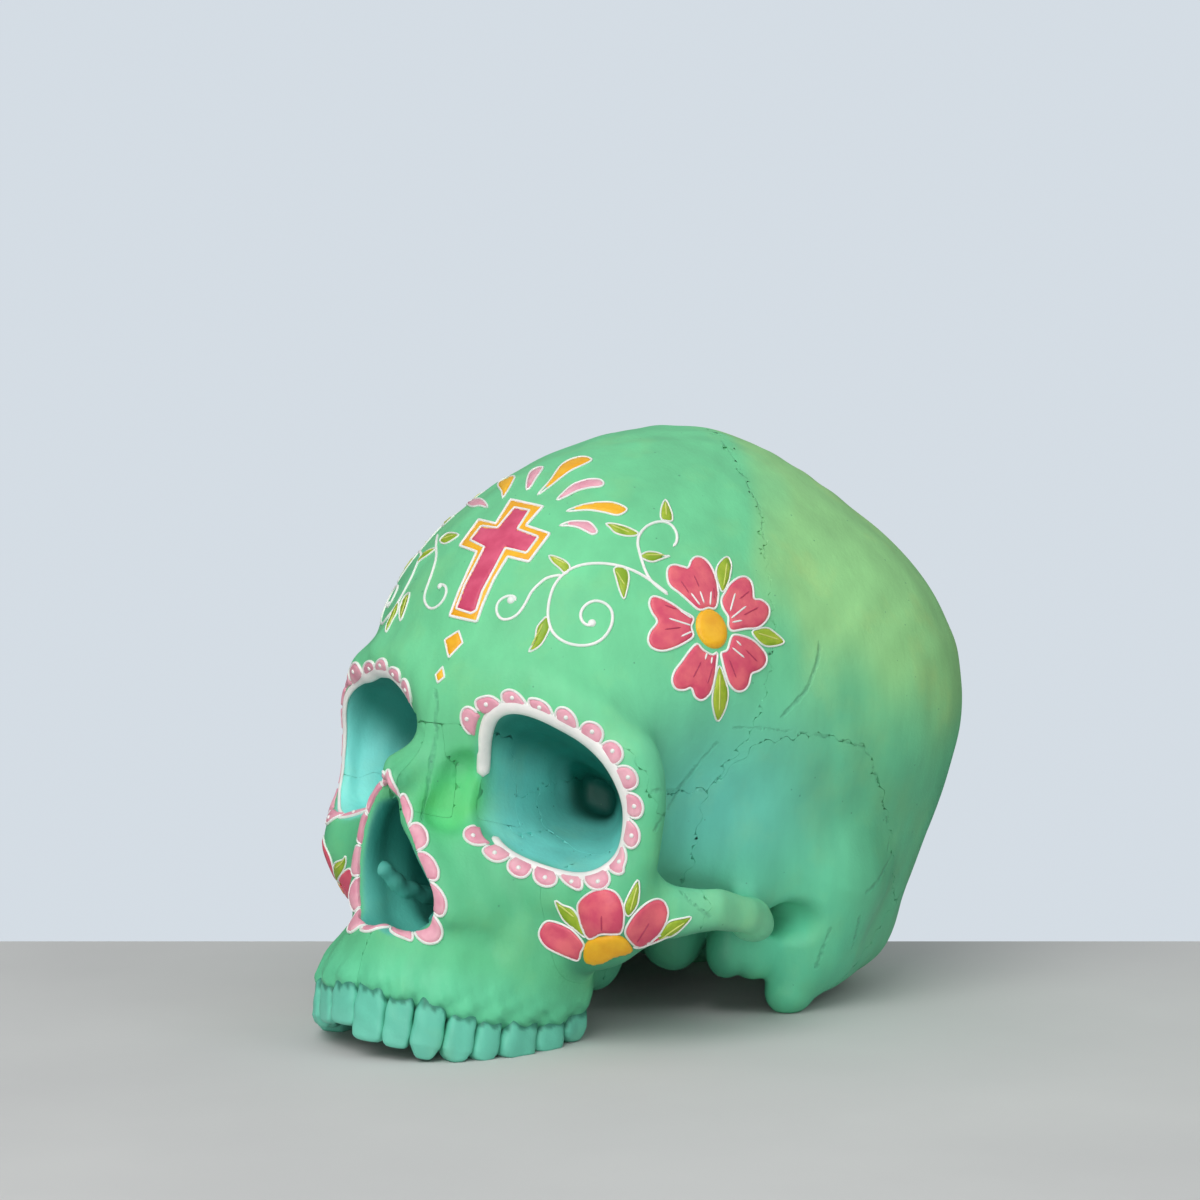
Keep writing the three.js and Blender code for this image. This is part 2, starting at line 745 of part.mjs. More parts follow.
// Hollow forms: eye sockets, nose, braincase, foramen and ear holes.
function socketTool(sign) {
  const geometry = new THREE.CylinderGeometry(1, 1, 1, 18, 3);
  const place = geometry.getAttribute("position");
  const front = -orbitHeight / 2;
  for (let i = 0; i < place.count; i++) {
    const along = 0.5 - place.getY(i);
    const depth = front + (orbitDepth * 0.95 - front) * along;
    const size = socketSize(depth);
    const [a, b] = [place.getX(i), place.getZ(i)];
    const round = superRadius(a, b, orbitSquareness) || 1;
    const share = Math.hypot(a, b) / round;
    const u = a * share * (orbitWidth / 2) * size;
    const v = b * share * (orbitHeight / 2) * size - orbitDroop * u;
    const spot = socketCentre
      .clone()
      .addScaledVector(socketOut, u)
      .addScaledVector(socketUp, v)
      .addScaledVector(socketIn, depth);
    place.setXYZ(i, sign * spot.x, spot.y, spot.z);
  }
  return facingOut(geometry);
}

// A closed geometry whose faces were turned inward by a mirror is turned out again.
function facingOut(geometry) {
  const form = solid(geometry);
  if (form.volume() > 0) return form;
  const index = geometry.index.array;
  for (let i = 0; i < index.length; i += 3) {
    [index[i], index[i + 1]] = [index[i + 1], index[i]];
  }
  return solid(geometry);
}

function noseTool(inset) {
  const half = noseHalf - inset;
  const top = noseTopZ - inset;
  const base = noseBaseZ + inset;
  const pear = new THREE.Shape();
  pear.moveTo(0, top);
  pear.bezierCurveTo(half * 0.55, top, half * 0.6, top - 10, half * 0.9, base + 13);
  pear.bezierCurveTo(half * 1.1, base + 4, half * 0.6, base, 0, base + 1.5);
  pear.bezierCurveTo(-half * 0.6, base, -half * 1.1, base + 4, -half * 0.9, base + 13);
  pear.bezierCurveTo(-half * 0.6, top - 10, -half * 0.55, top, 0, top);
  const options = { depth: 60, bevelEnabled: false, curveSegments: 5 };
  const opening = new THREE.ExtrudeGeometry(pear, options);
  opening.applyMatrix4(prismAxes.front);
  opening.translate(0, noseBridgeY + 20, 0);
  const chamber = new THREE.SphereGeometry(1, 12, 6);
  chamber.scale(half + 0.5, noseDepth / 2 - inset, noseHeight / 2 - 0.5 - inset);
  chamber.translate(0, noseBridgeY + noseDepth / 2 - 3, noseTopZ - noseHeight / 2);
  return solid(opening).add(solid(chamber));
}

function hollow(centre, half) {
  const geometry = new THREE.SphereGeometry(1, 14, 8);
  geometry.scale(...half.map((v) => v - braincaseWall));
  geometry.translate(...centre);
  return solid(geometry);
}

function braincaseTool() {
  const otherBoss = [[-bossX, bossY, bossZ], boss[1]];
  let room = hollow(...crown);
  for (const mass of [forehead, occiput, boss, otherBoss]) room = room.add(hollow(...mass));
  const floorZ = baseThickness - baseDepth;
  const frontFloor = [orbitY + orbitDepth, orbitZ + orbitHeight / 2 + 8];
  const floor = [
    [reach, floorZ + 8],
    [nuchalY + 10, floorZ],
    [-12, floorZ],
    [frontFloor[0] + 4, frontFloor[1] - 18],
    frontFloor,
    [-reach, frontFloor[1] + 6],
    [-reach, -reach],
    [reach, -reach],
  ];
  room = room.subtract(prism("side", floor, -reach, reach));
  const foramen = new THREE.CylinderGeometry(1, 1, 60, 20);
  foramen.rotateX(Math.PI / 2);
  foramen.scale(foramenWidth / 2, foramenLength / 2, 1);
  foramen.translate(0, foramenY, floorZ - 20);
  return room.add(solid(foramen));
}

function earHole(sign) {
  const bore = new THREE.CylinderGeometry(earHoleWidth / 2, earHoleWidth / 2, 60, 12);
  bore.rotateZ(Math.PI / 2);
  bore.translate(sign * (baseHalfBreadth - earHoleDepth + 30), mastoidY - 10, -1);
  return solid(bore);
}

// Everything below the table top, in the skull's own tilted frame.
function belowTable() {
  const block = new THREE.BoxGeometry(2 * reach, 2 * reach, reach);
  block.translate(0, 0, -restHeight - reach / 2);
  block.rotateX(radians(restTilt));
  return solid(block);
}
const table = belowTable();

// A tooth: a revolved root and crown, squared, drawn out to its width and depth and thinned to
// its biting edge.
function toothTool(tooth, sign, grow) {
  const crownHeight = tooth.neck - tooth.tip;
  const profile = [
    [0, toothRoot],
    [0.45, toothRoot],
    [0.84, 0.5],
    [1, -crownHeight * 0.55],
    [tooth.point, -crownHeight * 0.96],
    [0, -crownHeight],
  ];
  const points = profile.map(([r, z]) => new THREE.Vector2(r, z)).reverse();
  const geometry = new THREE.LatheGeometry(points, 8);
  geometry.rotateX(Math.PI / 2);
  const place = geometry.getAttribute("position");
  for (let i = 0; i < place.count; i++) {
    const [a, b, z] = [place.getX(i), place.getY(i), place.getZ(i)];
    const square = Math.hypot(a, b) / (superRadius(a, b, toothSquareness) || 1);
    const thin = 1 + (tooth.edge - 1) * Math.min(1, Math.max(0, -z / crownHeight));
    const x = a * square * ((tooth.width - toothGap) / 2 + grow);
    const y = b * square * ((tooth.depth * thin) / 2 + grow) + toothRootLean * Math.max(0, z);
    place.setXYZ(i, x, y, z + (z > 0 ? grow : -grow));
  }
  geometry.rotateZ(sign * tooth.heading);
  geometry.translate(sign * tooth.x, tooth.y, tooth.neck);
  return facingOut(geometry);
}

// A round or oval rod along a run of points; its section is given across and upward.
function rod(route, halfUp, halfAcross, steps) {
  const section = new THREE.Shape();
  section.absellipse(0, 0, halfUp, halfAcross, 0, 2 * Math.PI);
  const extrudePath = new THREE.CatmullRomCurve3(route);
  const options = { steps, extrudePath, curveSegments: 3, bevelEnabled: false };
  return facingOut(new THREE.ExtrudeGeometry(section, options));
}

// The cheek arch: a flattened bow of bone that stands clear of the temple.
function archTool(sign) {
  const route = cheekArch.map(([x, y, z]) => new THREE.Vector3(sign * x, y, z));
  return rod(route, archHeight / 2, archThickness / 2, 12);
}

// The eye bead runs on the rim of the socket, open for a stretch on the nose side.
function beadTool(sign, grow) {
  const steps = 21;
  const offset = beadWidth * 0.35;
  const path = [];
  for (let i = 0; i <= steps; i++) {
    const turn = beadOpening / 2 + (i / steps) * (360 - beadOpening);
    const angle = radians(beadOpeningAngle + turn);
    const round = superRadius(Math.cos(angle), Math.sin(angle), orbitSquareness);
    const u = (Math.cos(angle) / round) * (orbitWidth / 2 + offset);
    const v = (Math.sin(angle) / round) * (orbitHeight / 2 + offset) - orbitDroop * u;
    const spot = socketCentre.clone().addScaledVector(socketOut, u).addScaledVector(socketUp, v);
    let inward = -orbitDepth / 2;
    const probe = () => spot.clone().addScaledVector(socketIn, inward);
    while (inward < orbitDepth / 2 && skullField(...probe().toArray()) > beadWidth * 0.1) inward += 0.2;
    const found = probe();
    path.push(new THREE.Vector3(sign * found.x, found.y, found.z));
  }
  const smooth = path.map((point, i) => {
    const [a, b] = [path[Math.max(0, i - 1)], path[Math.min(steps, i + 1)]];
    return point.clone().multiplyScalar(2).add(a).add(b).multiplyScalar(0.25);
  });
  return rod(smooth, beadWidth / 2 + grow, beadWidth / 2 + grow, steps);
}

// The whole skull, hollowed, cut flat where it rests, with the tooth sockets and bead grooves.
const wholeTooth = (grow) => {
  const list = [];
  for (const tooth of teeth) list.push(toothTool(tooth, 1, grow), toothTool(tooth, -1, grow));
  return list;
};

function hollowed(form) {
  let left = form.subtract(socketTool(1)).subtract(socketTool(-1));
  left = left.subtract(noseTool(0)).subtract(braincaseTool());
  left = left.subtract(earHole(1)).subtract(earHole(-1)).subtract(table);
  for (const sign of [1, -1]) left = left.subtract(beadTool(sign, socketGap));
  for (const tool of wholeTooth(socketGap)) left = left.subtract(tool);
  return left;
}

// The skin is finest over the face, and its samples draw apart toward the back and the crown.
function wholeSkin() {
  const wider = (share) => faceCell + (vaultCell - faceCell) * share;
  const backward = (y) => wider(THREE.MathUtils.smoothstep(y, pterionY, occiputY));
  const upward = (z) => wider(THREE.MathUtils.smoothstep(z, orbitZ + orbitHeight / 2, crownZ));
  const leftLine = sampleLine(0, archReach + 16, () => faceCell);
  const rightLine = leftLine.slice(1).map((x) => -x).reverse();
  const lines = [
    [...rightLine, ...leftLine],
    sampleLine(orbitY - 42, occiputY + occiputHalfLength + 20, backward),
    sampleLine(teeth[0].tip - 14, crownZ + crownHalfHeight + 14, upward),
  ];
  return solid(skin(skullField, lines)).add(archTool(1)).add(archTool(-1));
}

const bones = {};
let rest = hollowed(wholeSkin());

function take(region) {
  const bone = rest.intersect(region(0));
  rest = rest.subtract(region(seamGap));
  return bone;
}

// Nasal bones: the small pair that roofs the nose opening.
const nasalOutline = [
  [0, nasion],
  [5.5, nasion],
  [noseHalf - 5, noseTopZ - 4],
  [0, noseTopZ - 4],
];
const nasalBlock = (sign, grow) =>
  prism("front", mirrored(nasalOutline, sign), -reach, noseBridgeY + 16, grow);
const halfGap = seamGap / 2;
const besideMidline = (sign) => {
  const outline = [[halfGap, -reach], [reach, -reach], [reach, reach], [halfGap, reach]];
  return prism("top", mirrored(outline, sign), -reach, reach);
};
for (const [side, sign] of [["left", 1], ["right", -1]]) {
  bones[`${side}_nasal`] = rest.intersect(nasalBlock(sign, 0)).intersect(besideMidline(sign));
}
rest = rest.subtract(nasalBlock(1, seamGap)).subtract(nasalBlock(-1, seamGap));

bones.frontal = take((grow) => prism("side", frontalOutline, -reach, reach, grow));

const parietals = take((grow) => prism("side", parietalOutline, -reach, reach, grow));
bones.left_parietal = parietals.intersect(leftHalf(-halfGap));
bones.right_parietal = parietals.subtract(leftHalf(halfGap));

bones.occipital = take((grow) => {
  const back = prism("side", occipitalOutline, -reach, reach, grow);
  return back.add(prism("top", occipitalFront, -reach, 20, grow));
});

const temporalBlock = (sign) => (grow) => {
  const squama = beside(petrousX, reach, temporalOutline, grow, sign);
  return squama.add(beside(insideArchX, reach, archOutline, grow, sign));
};
bones.left_temporal = take(temporalBlock(1));
bones.right_temporal = take(temporalBlock(-1));

bones.sphenoid = take((grow) => prism("side", sphenoidOutline, -insideArchX, insideArchX, grow));

// Cheek bones meet the upper jaw on a slanting seam below the socket.
const cheekOutline = [
  [bySocket(0.12, 0, 0)[0], orbitZ - 4],
  [bySocket(0.2, 0, 0)[0], orbitZ - orbitHeight / 2],
  [bySocket(0.5, 0, 0)[0], cheekZ - cheekHalfHeight - 30],
  [reach, cheekZ - cheekHalfHeight - 30],
  [reach, reach],
  [bySocket(0.12, 0, 0)[0], reach],
];
const cheekBlock = (sign) => (grow) =>
  prism("front", mirrored(cheekOutline, sign), -reach, reach, grow);
bones.left_zygomatic = take(cheekBlock(1));
bones.right_zygomatic = take(cheekBlock(-1));

// Behind the nose: the ethmoid between the sockets with a lacrimal bone at each side of it.
const ethmoidOutline = [
  [noseBridgeY + 18, noseTopZ + 2],
  [noseBridgeY + 18, reach],
  [reach, reach],
  [reach, noseTopZ - 14],
  [noseBridgeY + 26, noseTopZ - 14],
];
const betweenSockets = bySocket(-0.72, 0, 0)[0];
const lacrimalBlock = (sign) => (grow) => {
  const outline = [
    [noseBridgeY + 12, noseTopZ - 3],
    [noseBridgeY + 12, nasion],
    [noseBridgeY + 26, nasion],
    [noseBridgeY + 26, noseTopZ - 3],
  ];
  return beside(betweenSockets - 6, betweenSockets + 4, outline, grow, sign);
};
bones.left_lacrimal = take(lacrimalBlock(1));
bones.right_lacrimal = take(lacrimalBlock(-1));
bones.ethmoid = take((grow) => prism("side", ethmoidOutline, -betweenSockets, betweenSockets, grow));

// Palatine bones close the back of the palate; what is left is the pair of upper jaws.
const palatineOutline = [
  [jawBackY - 8, -reach],
  [jawBackY - 8, noseBaseZ + 6],
  [reach, noseBaseZ + 6],
  [reach, -reach],
];
const palatineBlock = (grow) =>
  prism("side", palatineOutline, 8 - jawHalfWidth, jawHalfWidth - 8, grow);
const palatines = rest.intersect(palatineBlock(0));
rest = rest.subtract(palatineBlock(seamGap));
for (const [side, sign] of [["left", 1], ["right", -1]]) {
  bones[`${side}_palatine`] = palatines.intersect(besideMidline(sign));
  bones[`${side}_maxilla`] = rest.intersect(besideMidline(sign));
}

// Inside the nose: the thin vomer on the midline and a curled lower concha on each wall.
const noseRoom = noseTool(socketGap);
const vomerOutline = [
  [noseBridgeY + 14, noseBaseZ - 10],
  [noseBridgeY + 26, noseTopZ + 10],
  [reach, noseTopZ + 10],
  [reach, noseBaseZ - 10],
];
const vomerHalf = septumThickness / 2;
bones.vomer = noseRoom.intersect(prism("side", vomerOutline, -vomerHalf, vomerHalf));
for (const [side, sign] of [["left", 1], ["right", -1]]) {
  const roll = new THREE.CapsuleGeometry(conchaRadius, 22, 2, 8);
  roll.scale(1.5, 1, 1);
  roll.translate(sign * (noseHalf - 2.2), noseBridgeY + 24, noseBaseZ + 9);
  bones[`${side}_concha`] = noseRoom.intersect(facingOut(roll));
}

const sugarSkull = new THREE.Group();
const standing = new THREE.Group();
standing.rotation.x = -radians(restTilt);
standing.position.z = restHeight;
sugarSkull.add(standing);

function addPiece(name, form, colour, roughness = 0.62) {
  const material = new THREE.MeshStandardMaterial({ color: colour, roughness, metalness: 0 });
  const geometry = bodyGeometry(form);
  geometry.computeVertexNormals();
  const piece = new THREE.Mesh(geometry, material);
  piece.name = name;
  standing.add(piece);
}

const vaultBones = ["left_parietal", "right_parietal", "occipital"];
const innerBones = ["ethmoid", "vomer", "left_concha", "right_concha", "left_lacrimal", "right_lacrimal"];
for (const [name, form] of Object.entries(bones)) {
  let colour = colours.bone;
  if (vaultBones.includes(name)) colour = colours.vault;
  if (innerBones.includes(name)) colour = colours.socket;
  addPiece(name, form, colour);
}
for (const [side, sign] of [["left", 1], ["right", -1]]) {
  let row = besideMidline(sign).subtract(table);
  for (const tooth of teeth) {
    addPiece(`${side}_${tooth.name}`, toothTool(tooth, sign, 0).intersect(row), colours.tooth, 0.55);
    row = row.subtract(toothTool(tooth, sign, toothGap));
  }
  addPiece(`${side}_eye_bead`, beadTool(sign, 0), colours.bead, 0.5);
}

// The part's origin is under its middle, on the table.
sugarSkull.updateMatrixWorld(true);
const extent = new THREE.Box3().setFromObject(sugarSkull, true);
standing.position.y -= (extent.min.y + extent.max.y) / 2;

export default sugarSkull;
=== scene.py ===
import bpy
import numpy as np
from mathutils import Matrix
from mathutils.geometry import delaunay_2d_cdt


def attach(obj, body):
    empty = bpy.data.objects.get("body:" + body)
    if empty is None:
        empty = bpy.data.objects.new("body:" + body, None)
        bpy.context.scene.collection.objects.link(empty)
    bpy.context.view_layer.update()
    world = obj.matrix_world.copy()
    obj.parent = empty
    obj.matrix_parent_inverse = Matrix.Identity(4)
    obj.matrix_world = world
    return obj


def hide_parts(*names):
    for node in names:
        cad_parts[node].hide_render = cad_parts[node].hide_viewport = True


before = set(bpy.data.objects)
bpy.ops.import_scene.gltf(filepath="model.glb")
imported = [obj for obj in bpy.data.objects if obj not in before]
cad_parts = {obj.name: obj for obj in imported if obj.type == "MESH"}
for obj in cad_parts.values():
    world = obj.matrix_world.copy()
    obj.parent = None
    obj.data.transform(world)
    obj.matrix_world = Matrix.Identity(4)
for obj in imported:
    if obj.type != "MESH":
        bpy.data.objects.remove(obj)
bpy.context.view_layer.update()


# Camera
# The photograph was taken from the skull's own front left, a little above the brow, with a long
# lens at about arm's length. Pixel places in this file are those of that 1200-pixel picture.
picture_size = 1200
lens_pixels = 3270.23
sensor_width = 36
camera_distance = 900.0
camera_turn = np.radians(39.998)
camera_rise = np.radians(4.797)
ear_pixel = (636.32, 872.79)
skull_lean = np.radians(15)
skull_lift = 32.0
skull_shift = 14.4265

camera_back = np.array(
    [
        np.sin(camera_turn) * np.cos(camera_rise),
        -np.cos(camera_turn) * np.cos(camera_rise),
        np.sin(camera_rise),
    ]
)
camera_right = np.array([np.cos(camera_turn), np.sin(camera_turn), 0.0])
camera_up = np.cross(camera_back, camera_right)
to_standing = np.array(
    [
        [1, 0, 0],
        [0, np.cos(skull_lean), np.sin(skull_lean)],
        [0, -np.sin(skull_lean), np.cos(skull_lean)],
    ]
)
pixel_size = camera_distance / lens_pixels
camera_place = (
    camera_back * camera_distance
    - camera_right * (ear_pixel[0] - picture_size / 2) * pixel_size
    + camera_up * (ear_pixel[1] - picture_size / 2) * pixel_size
)


def stand(points):
    """Points of the level skull, in millimetres, as metres on the table."""
    placed = points @ to_standing.T + np.array([0, skull_shift, skull_lift])
    return placed / 1000


camera_data = bpy.data.cameras.new("camera")
camera_data.sensor_width = sensor_width
camera_data.lens = sensor_width * lens_pixels / picture_size
camera_data.clip_start = 0.05
camera_data.dof.use_dof = False
camera = bpy.data.objects.new("camera", camera_data)
bpy.context.collection.objects.link(camera)
camera_matrix = np.eye(4)
camera_matrix[:3, 0] = camera_right
camera_matrix[:3, 1] = camera_up
camera_matrix[:3, 2] = camera_back
camera_matrix[:3, 3] = (camera_place + np.array([0, skull_shift, skull_lift])) / 1000
camera.matrix_world = Matrix(camera_matrix.tolist())
bpy.context.scene.camera = camera


# The skull's form
# All bones share one flowing surface, as in the resin cast: swellings for vault, brow, cheeks,
# jaw and mastoids, hollowed for the sockets, the nose and the braincase. Level, in millimetres.
def blend(a, b, width):
    """Joins two forms, with a smooth hollow of that width between them."""
    share = np.maximum(width - np.abs(a - b), 0) / width
    return np.minimum(a, b) - share * share * width * 0.25


def carve(a, b, width):
    """Keeps what two forms share, with a smooth edge of that width."""
    return -blend(-a, -b, width)


def mass(p, centre, half):
    """Distance from an ellipsoid, near enough."""
    q = p - np.array(centre, float)
    half = np.array(half, float)
    reach = np.sqrt(((q / half) ** 2).sum(-1))
    slope = np.sqrt(((q / half**2) ** 2).sum(-1)) + 1e-9
    return reach * (reach - 1) / slope


def rod(p, start, end, start_radius, end_radius, squeeze=(1, 1, 1)):
    """Distance from a tapered rod, narrower along each axis by its squeeze."""
    squeeze = np.array(squeeze, float)
    a = np.array(start, float) * squeeze
    run = np.array(end, float) * squeeze - a
    q = p * squeeze - a
    along = np.clip((q @ run) / (run @ run), 0, 1)
    away = np.sqrt(((q - along[..., None] * run) ** 2).sum(-1))
    return (away - (start_radius + (end_radius - start_radius) * along)) / squeeze.max()


def ridge(p, stations, squeeze=(1, 1, 1)):
    """Rods end to end through stations of place and radius."""
    parts = [
        rod(p, a[:3], b[:3], a[3], b[3], squeeze) for a, b in zip(stations, stations[1:])
    ]
    return np.minimum.reduce(parts)


def soft_spot(p, centre, half):
    """One at the middle of an oval spot, fading to nothing outside it."""
    off = (p - np.array(centre, float)) / np.array(half, float)
    return np.exp(-(off * off).sum(-1))


socket_centre = np.array([32.2, -77.0, 12.8])
socket_apex = np.array([12.6, -36.0, 17.0])
socket_half_width = 19.4
socket_half_height = 17.4
socket_squareness = 2.7
socket_droop = 0.25
socket_slant = 0.09
slant_reach = 6.0
socket_taper = 0.8
socket_least = 0.12
socket_evenness = 0.93
socket_depth = np.linalg.norm(socket_apex - socket_centre)
socket_in = (socket_apex - socket_centre) / socket_depth
socket_up = np.array([0, 0, 1.0]) - socket_in * socket_in[2]
socket_up /= np.linalg.norm(socket_up)
socket_out = np.cross(socket_in, socket_up)

right_socket_place, right_socket_spread = (-22, -80, 16), (26, 34, 25)
right_socket_move = np.array([8.0, 3.5, 14.2])
right_socket_fade = 8.0
right_cheek_place, right_cheek_spread = (-46, -70, -18), (20, 30, 18)
right_cheek_move = np.array([5.2, 0.0, 4.5])
right_cheek_fade = 9.0
right_corner_place, right_corner_spread = (-42, -72, 30), (11, 24, 14)
right_corner_move = np.array([0.0, 0.0, 4.5])
right_rim_place, right_rim_spread = (-52, -70, 20), (14, 26, 26)
right_rim_inset = 6.5
nose_place, nose_spread = (0, -97, -10), (24, 18, 24)
nose_lean_heights = [-24, -16, -4, 4, 12]
nose_leans = [2.6, 1.2, -5.0, -11.0, -11.5]


def right_move(p):
    """How far this cast's right socket and cheek sit from a mirror copy of the left ones."""
    right = -p[..., 0]
    at_socket = soft_spot(p, right_socket_place, right_socket_spread)
    at_socket = at_socket * np.clip(right / right_socket_fade, 0, 1)
    at_cheek = soft_spot(p, right_cheek_place, right_cheek_spread)
    at_cheek = at_cheek * np.clip(right / right_cheek_fade, 0, 1)
    at_corner = soft_spot(p, right_corner_place, right_corner_spread)
    move = at_socket[..., None] * right_socket_move + at_cheek[..., None] * right_cheek_move
    return move + at_corner[..., None] * right_corner_move


def own_side(points):
    """The skull is drawn once, on its left; its nose opening sits a little off the middle."""
    p = points - right_move(points)
    lean = np.interp(points[..., 2], nose_lean_heights, nose_leans)
    p[..., 0] = np.abs(p[..., 0] - lean * soft_spot(points, nose_place, nose_spread))
    return p


def socket(p, grow=0.0):
    """Distance from the wall of the tapering eye socket, and depth in it from 0 to 1."""
    q = p - socket_centre
    depth = (q @ socket_in) / socket_depth
    across = q @ socket_out
    upward = q @ socket_up
    upward = upward + (socket_droop + socket_slant * np.tanh(upward / slant_reach)) * across
    size = np.clip(1 - socket_taper * depth, socket_least, 1.0)
    a = socket_half_width + grow
    b = socket_half_height + grow
    n = socket_squareness
    reach = ((np.abs(across) / (a * size)) ** n + (np.abs(upward) / (b * size)) ** n) ** (1 / n)
    return (reach - 1) * b * size * socket_evenness, depth


crown = (0, -2.3, 53.3), (59.6, 63.5, 71)
forehead = (0, -37.5, 40), (57, 56.3, 60.5)
back_of_head = (0, 35.4, 17.6), (58.9, 40.2, 52.2)
side_of_head = (30.4, 21, 58.1), (42.9, 42.9, 42.9)
low_head = (0, 5, 8), (57, 56, 30)
neck_swell = (18, 46, -5), (20, 24, 16)
temple_hollow = (70, -49, 0), (27, 28, 34)
under_hollow = (48, -42, -30), (26, 30, 28)
cheek_swell = (42.5, -62.5, -14), (10.5, 10, 14)
jaw_swell = (19.5, -66, -22), (18.5, 17, 24)
palate_swell = (0, -78, -28), (18, 21, 11)
nose_passage = (0, -70, -9), (13.5, 25, 16)
nose_floor = (0, -88, -14), (12, 9, 14)

brow = [(4, -87, 33, 6), (15, -86.5, 36.5, 5.6), (28, -84.5, 38.5, 5), (41, -78.5, 33.5, 4.8)]
brow += [(50, -71, 22, 5)]
outer_rim = [(50, -71, 24, 4.6), (54, -68.5, 12, 4.3), (53, -67, 0, 5), (49, -66, -9, 7)]
lower_rim = [(48, -68, -9, 5), (35, -73.5, -11, 5), (22, -79, -8, 5), (12, -81, 4, 4.5)]
nose_side = [(6, -79.5, 29, 5.0), (8, -80.5, 20, 4.4), (6.8, -77.5, 13, 4.0), (12.3, -81.5, -6, 5.5)]
nose_roof = [(0.5, -82.5, 29, 5.4), (1.2, -88, 18, 4.2), (2.6, -98.5, 9, 4.0)]
nose_edge = [(4, -86, 18, 3.6), (7.6, -94, 4, 3.8), (11.8, -94, -8, 4.2), (15.6, -90.5, -20, 5)]
nose_flank = [(9, -84, 12, 4.5), (14, -86, -2, 5.5), (18, -84, -16, 7)]
gum_ridge = [(0, -94.5, -37, 7.8), (10, -92.5, -37.5, 7.6), (17, -88, -38, 7.4)]
gum_ridge += [(22, -80, -38.5, 7.4), (25, -70, -38, 7.6), (26.5, -58, -34, 7.5)]
cheek_arch = [(49, -63, -13, 8), (58, -54, -11, 6.2), (63, -44, -8.6, 5.1), (64, -33, -8.2, 4.8)]
cheek_arch += [(62.5, -27, -8.4, 4.5), (53, -19, -6, 3.8)]
arch_squeeze = (1.5, 1, 1)
nose_mouth = [(0, -105.4, 0.2, 5.4), (0, -103.6, -3, 7.2), (1.5, -101.5, -9, 8.3), (4.2, -98, -19, 8.6)]
gum_collars = [(4.3, -99.9, -42, 4.3), (12, -98.3, -42.6, 3.9), (18.4, -93.6, -43.4, 4.2)]
gum_collars += [(22.8, -87.9, -44.6, 4.3), (25.8, -81.5, -44.8, 4.3), (28, -73.4, -44, 5.0)]
gum_collars += [(29, -63.6, -42, 4.9), (29, -54.8, -38.5, 4.4)]
collar_draw, collar_back, collar_height, collar_taper = 0.95, 5.5, 10, 0.8

mastoid = (54, 12, 4), (51, 8.5, -25), 15, 6.4
neck_ridge = (49, 20, -13), (44, 40, -5), 11, 11
wing_root = (13, -44, -5), (16, -46, -34), 6, 2.5, (1.6, 1, 1)
tear_hollow = (12.5, -89, 16), (15.5, -91.5, 4), 3.6, 4.0
ear_bore = (45, -3, -6.5), (78, -4, -9), 4.0, 7.0
base_lumps = [
    ((28, -15, -16), (8, 9, 9), 4),
    ((45, -2, -15), (7, 7, 9), 4),
    ((42, -9, -17), (6, 6, 7.5), 2),
    ((58.5, -22.5, -10), (5.5, 6, 4.8), 3),
    ((27, -45, -24), (7, 7.5, 10), 3),
]
nape_slope, nape_place, nape_cup = (0.36, -0.933), (50, -18), 0.003
base_level, base_tilt, base_middle = -18, 0.1, 10
opening_half, opening_middle, opening_top = (15, 18), 17, 12
vault_wall = 7.0
nape_wall = 10
base_wall = 12
socket_wall = 4.0
room_clearance = 1.5
socket_lip = -0.02
depth_scale = 46
rim_wall_share = 0.4
dent_depth = 0.25
gum_lumps = 0.35


def nose_hollow(p):
    """Distance from the wall of the nose opening and the passage behind it."""
    nose = blend(ridge(p, nose_mouth), mass(p, *nose_passage), 6)
    return blend(nose, mass(p, *nose_floor), 4)


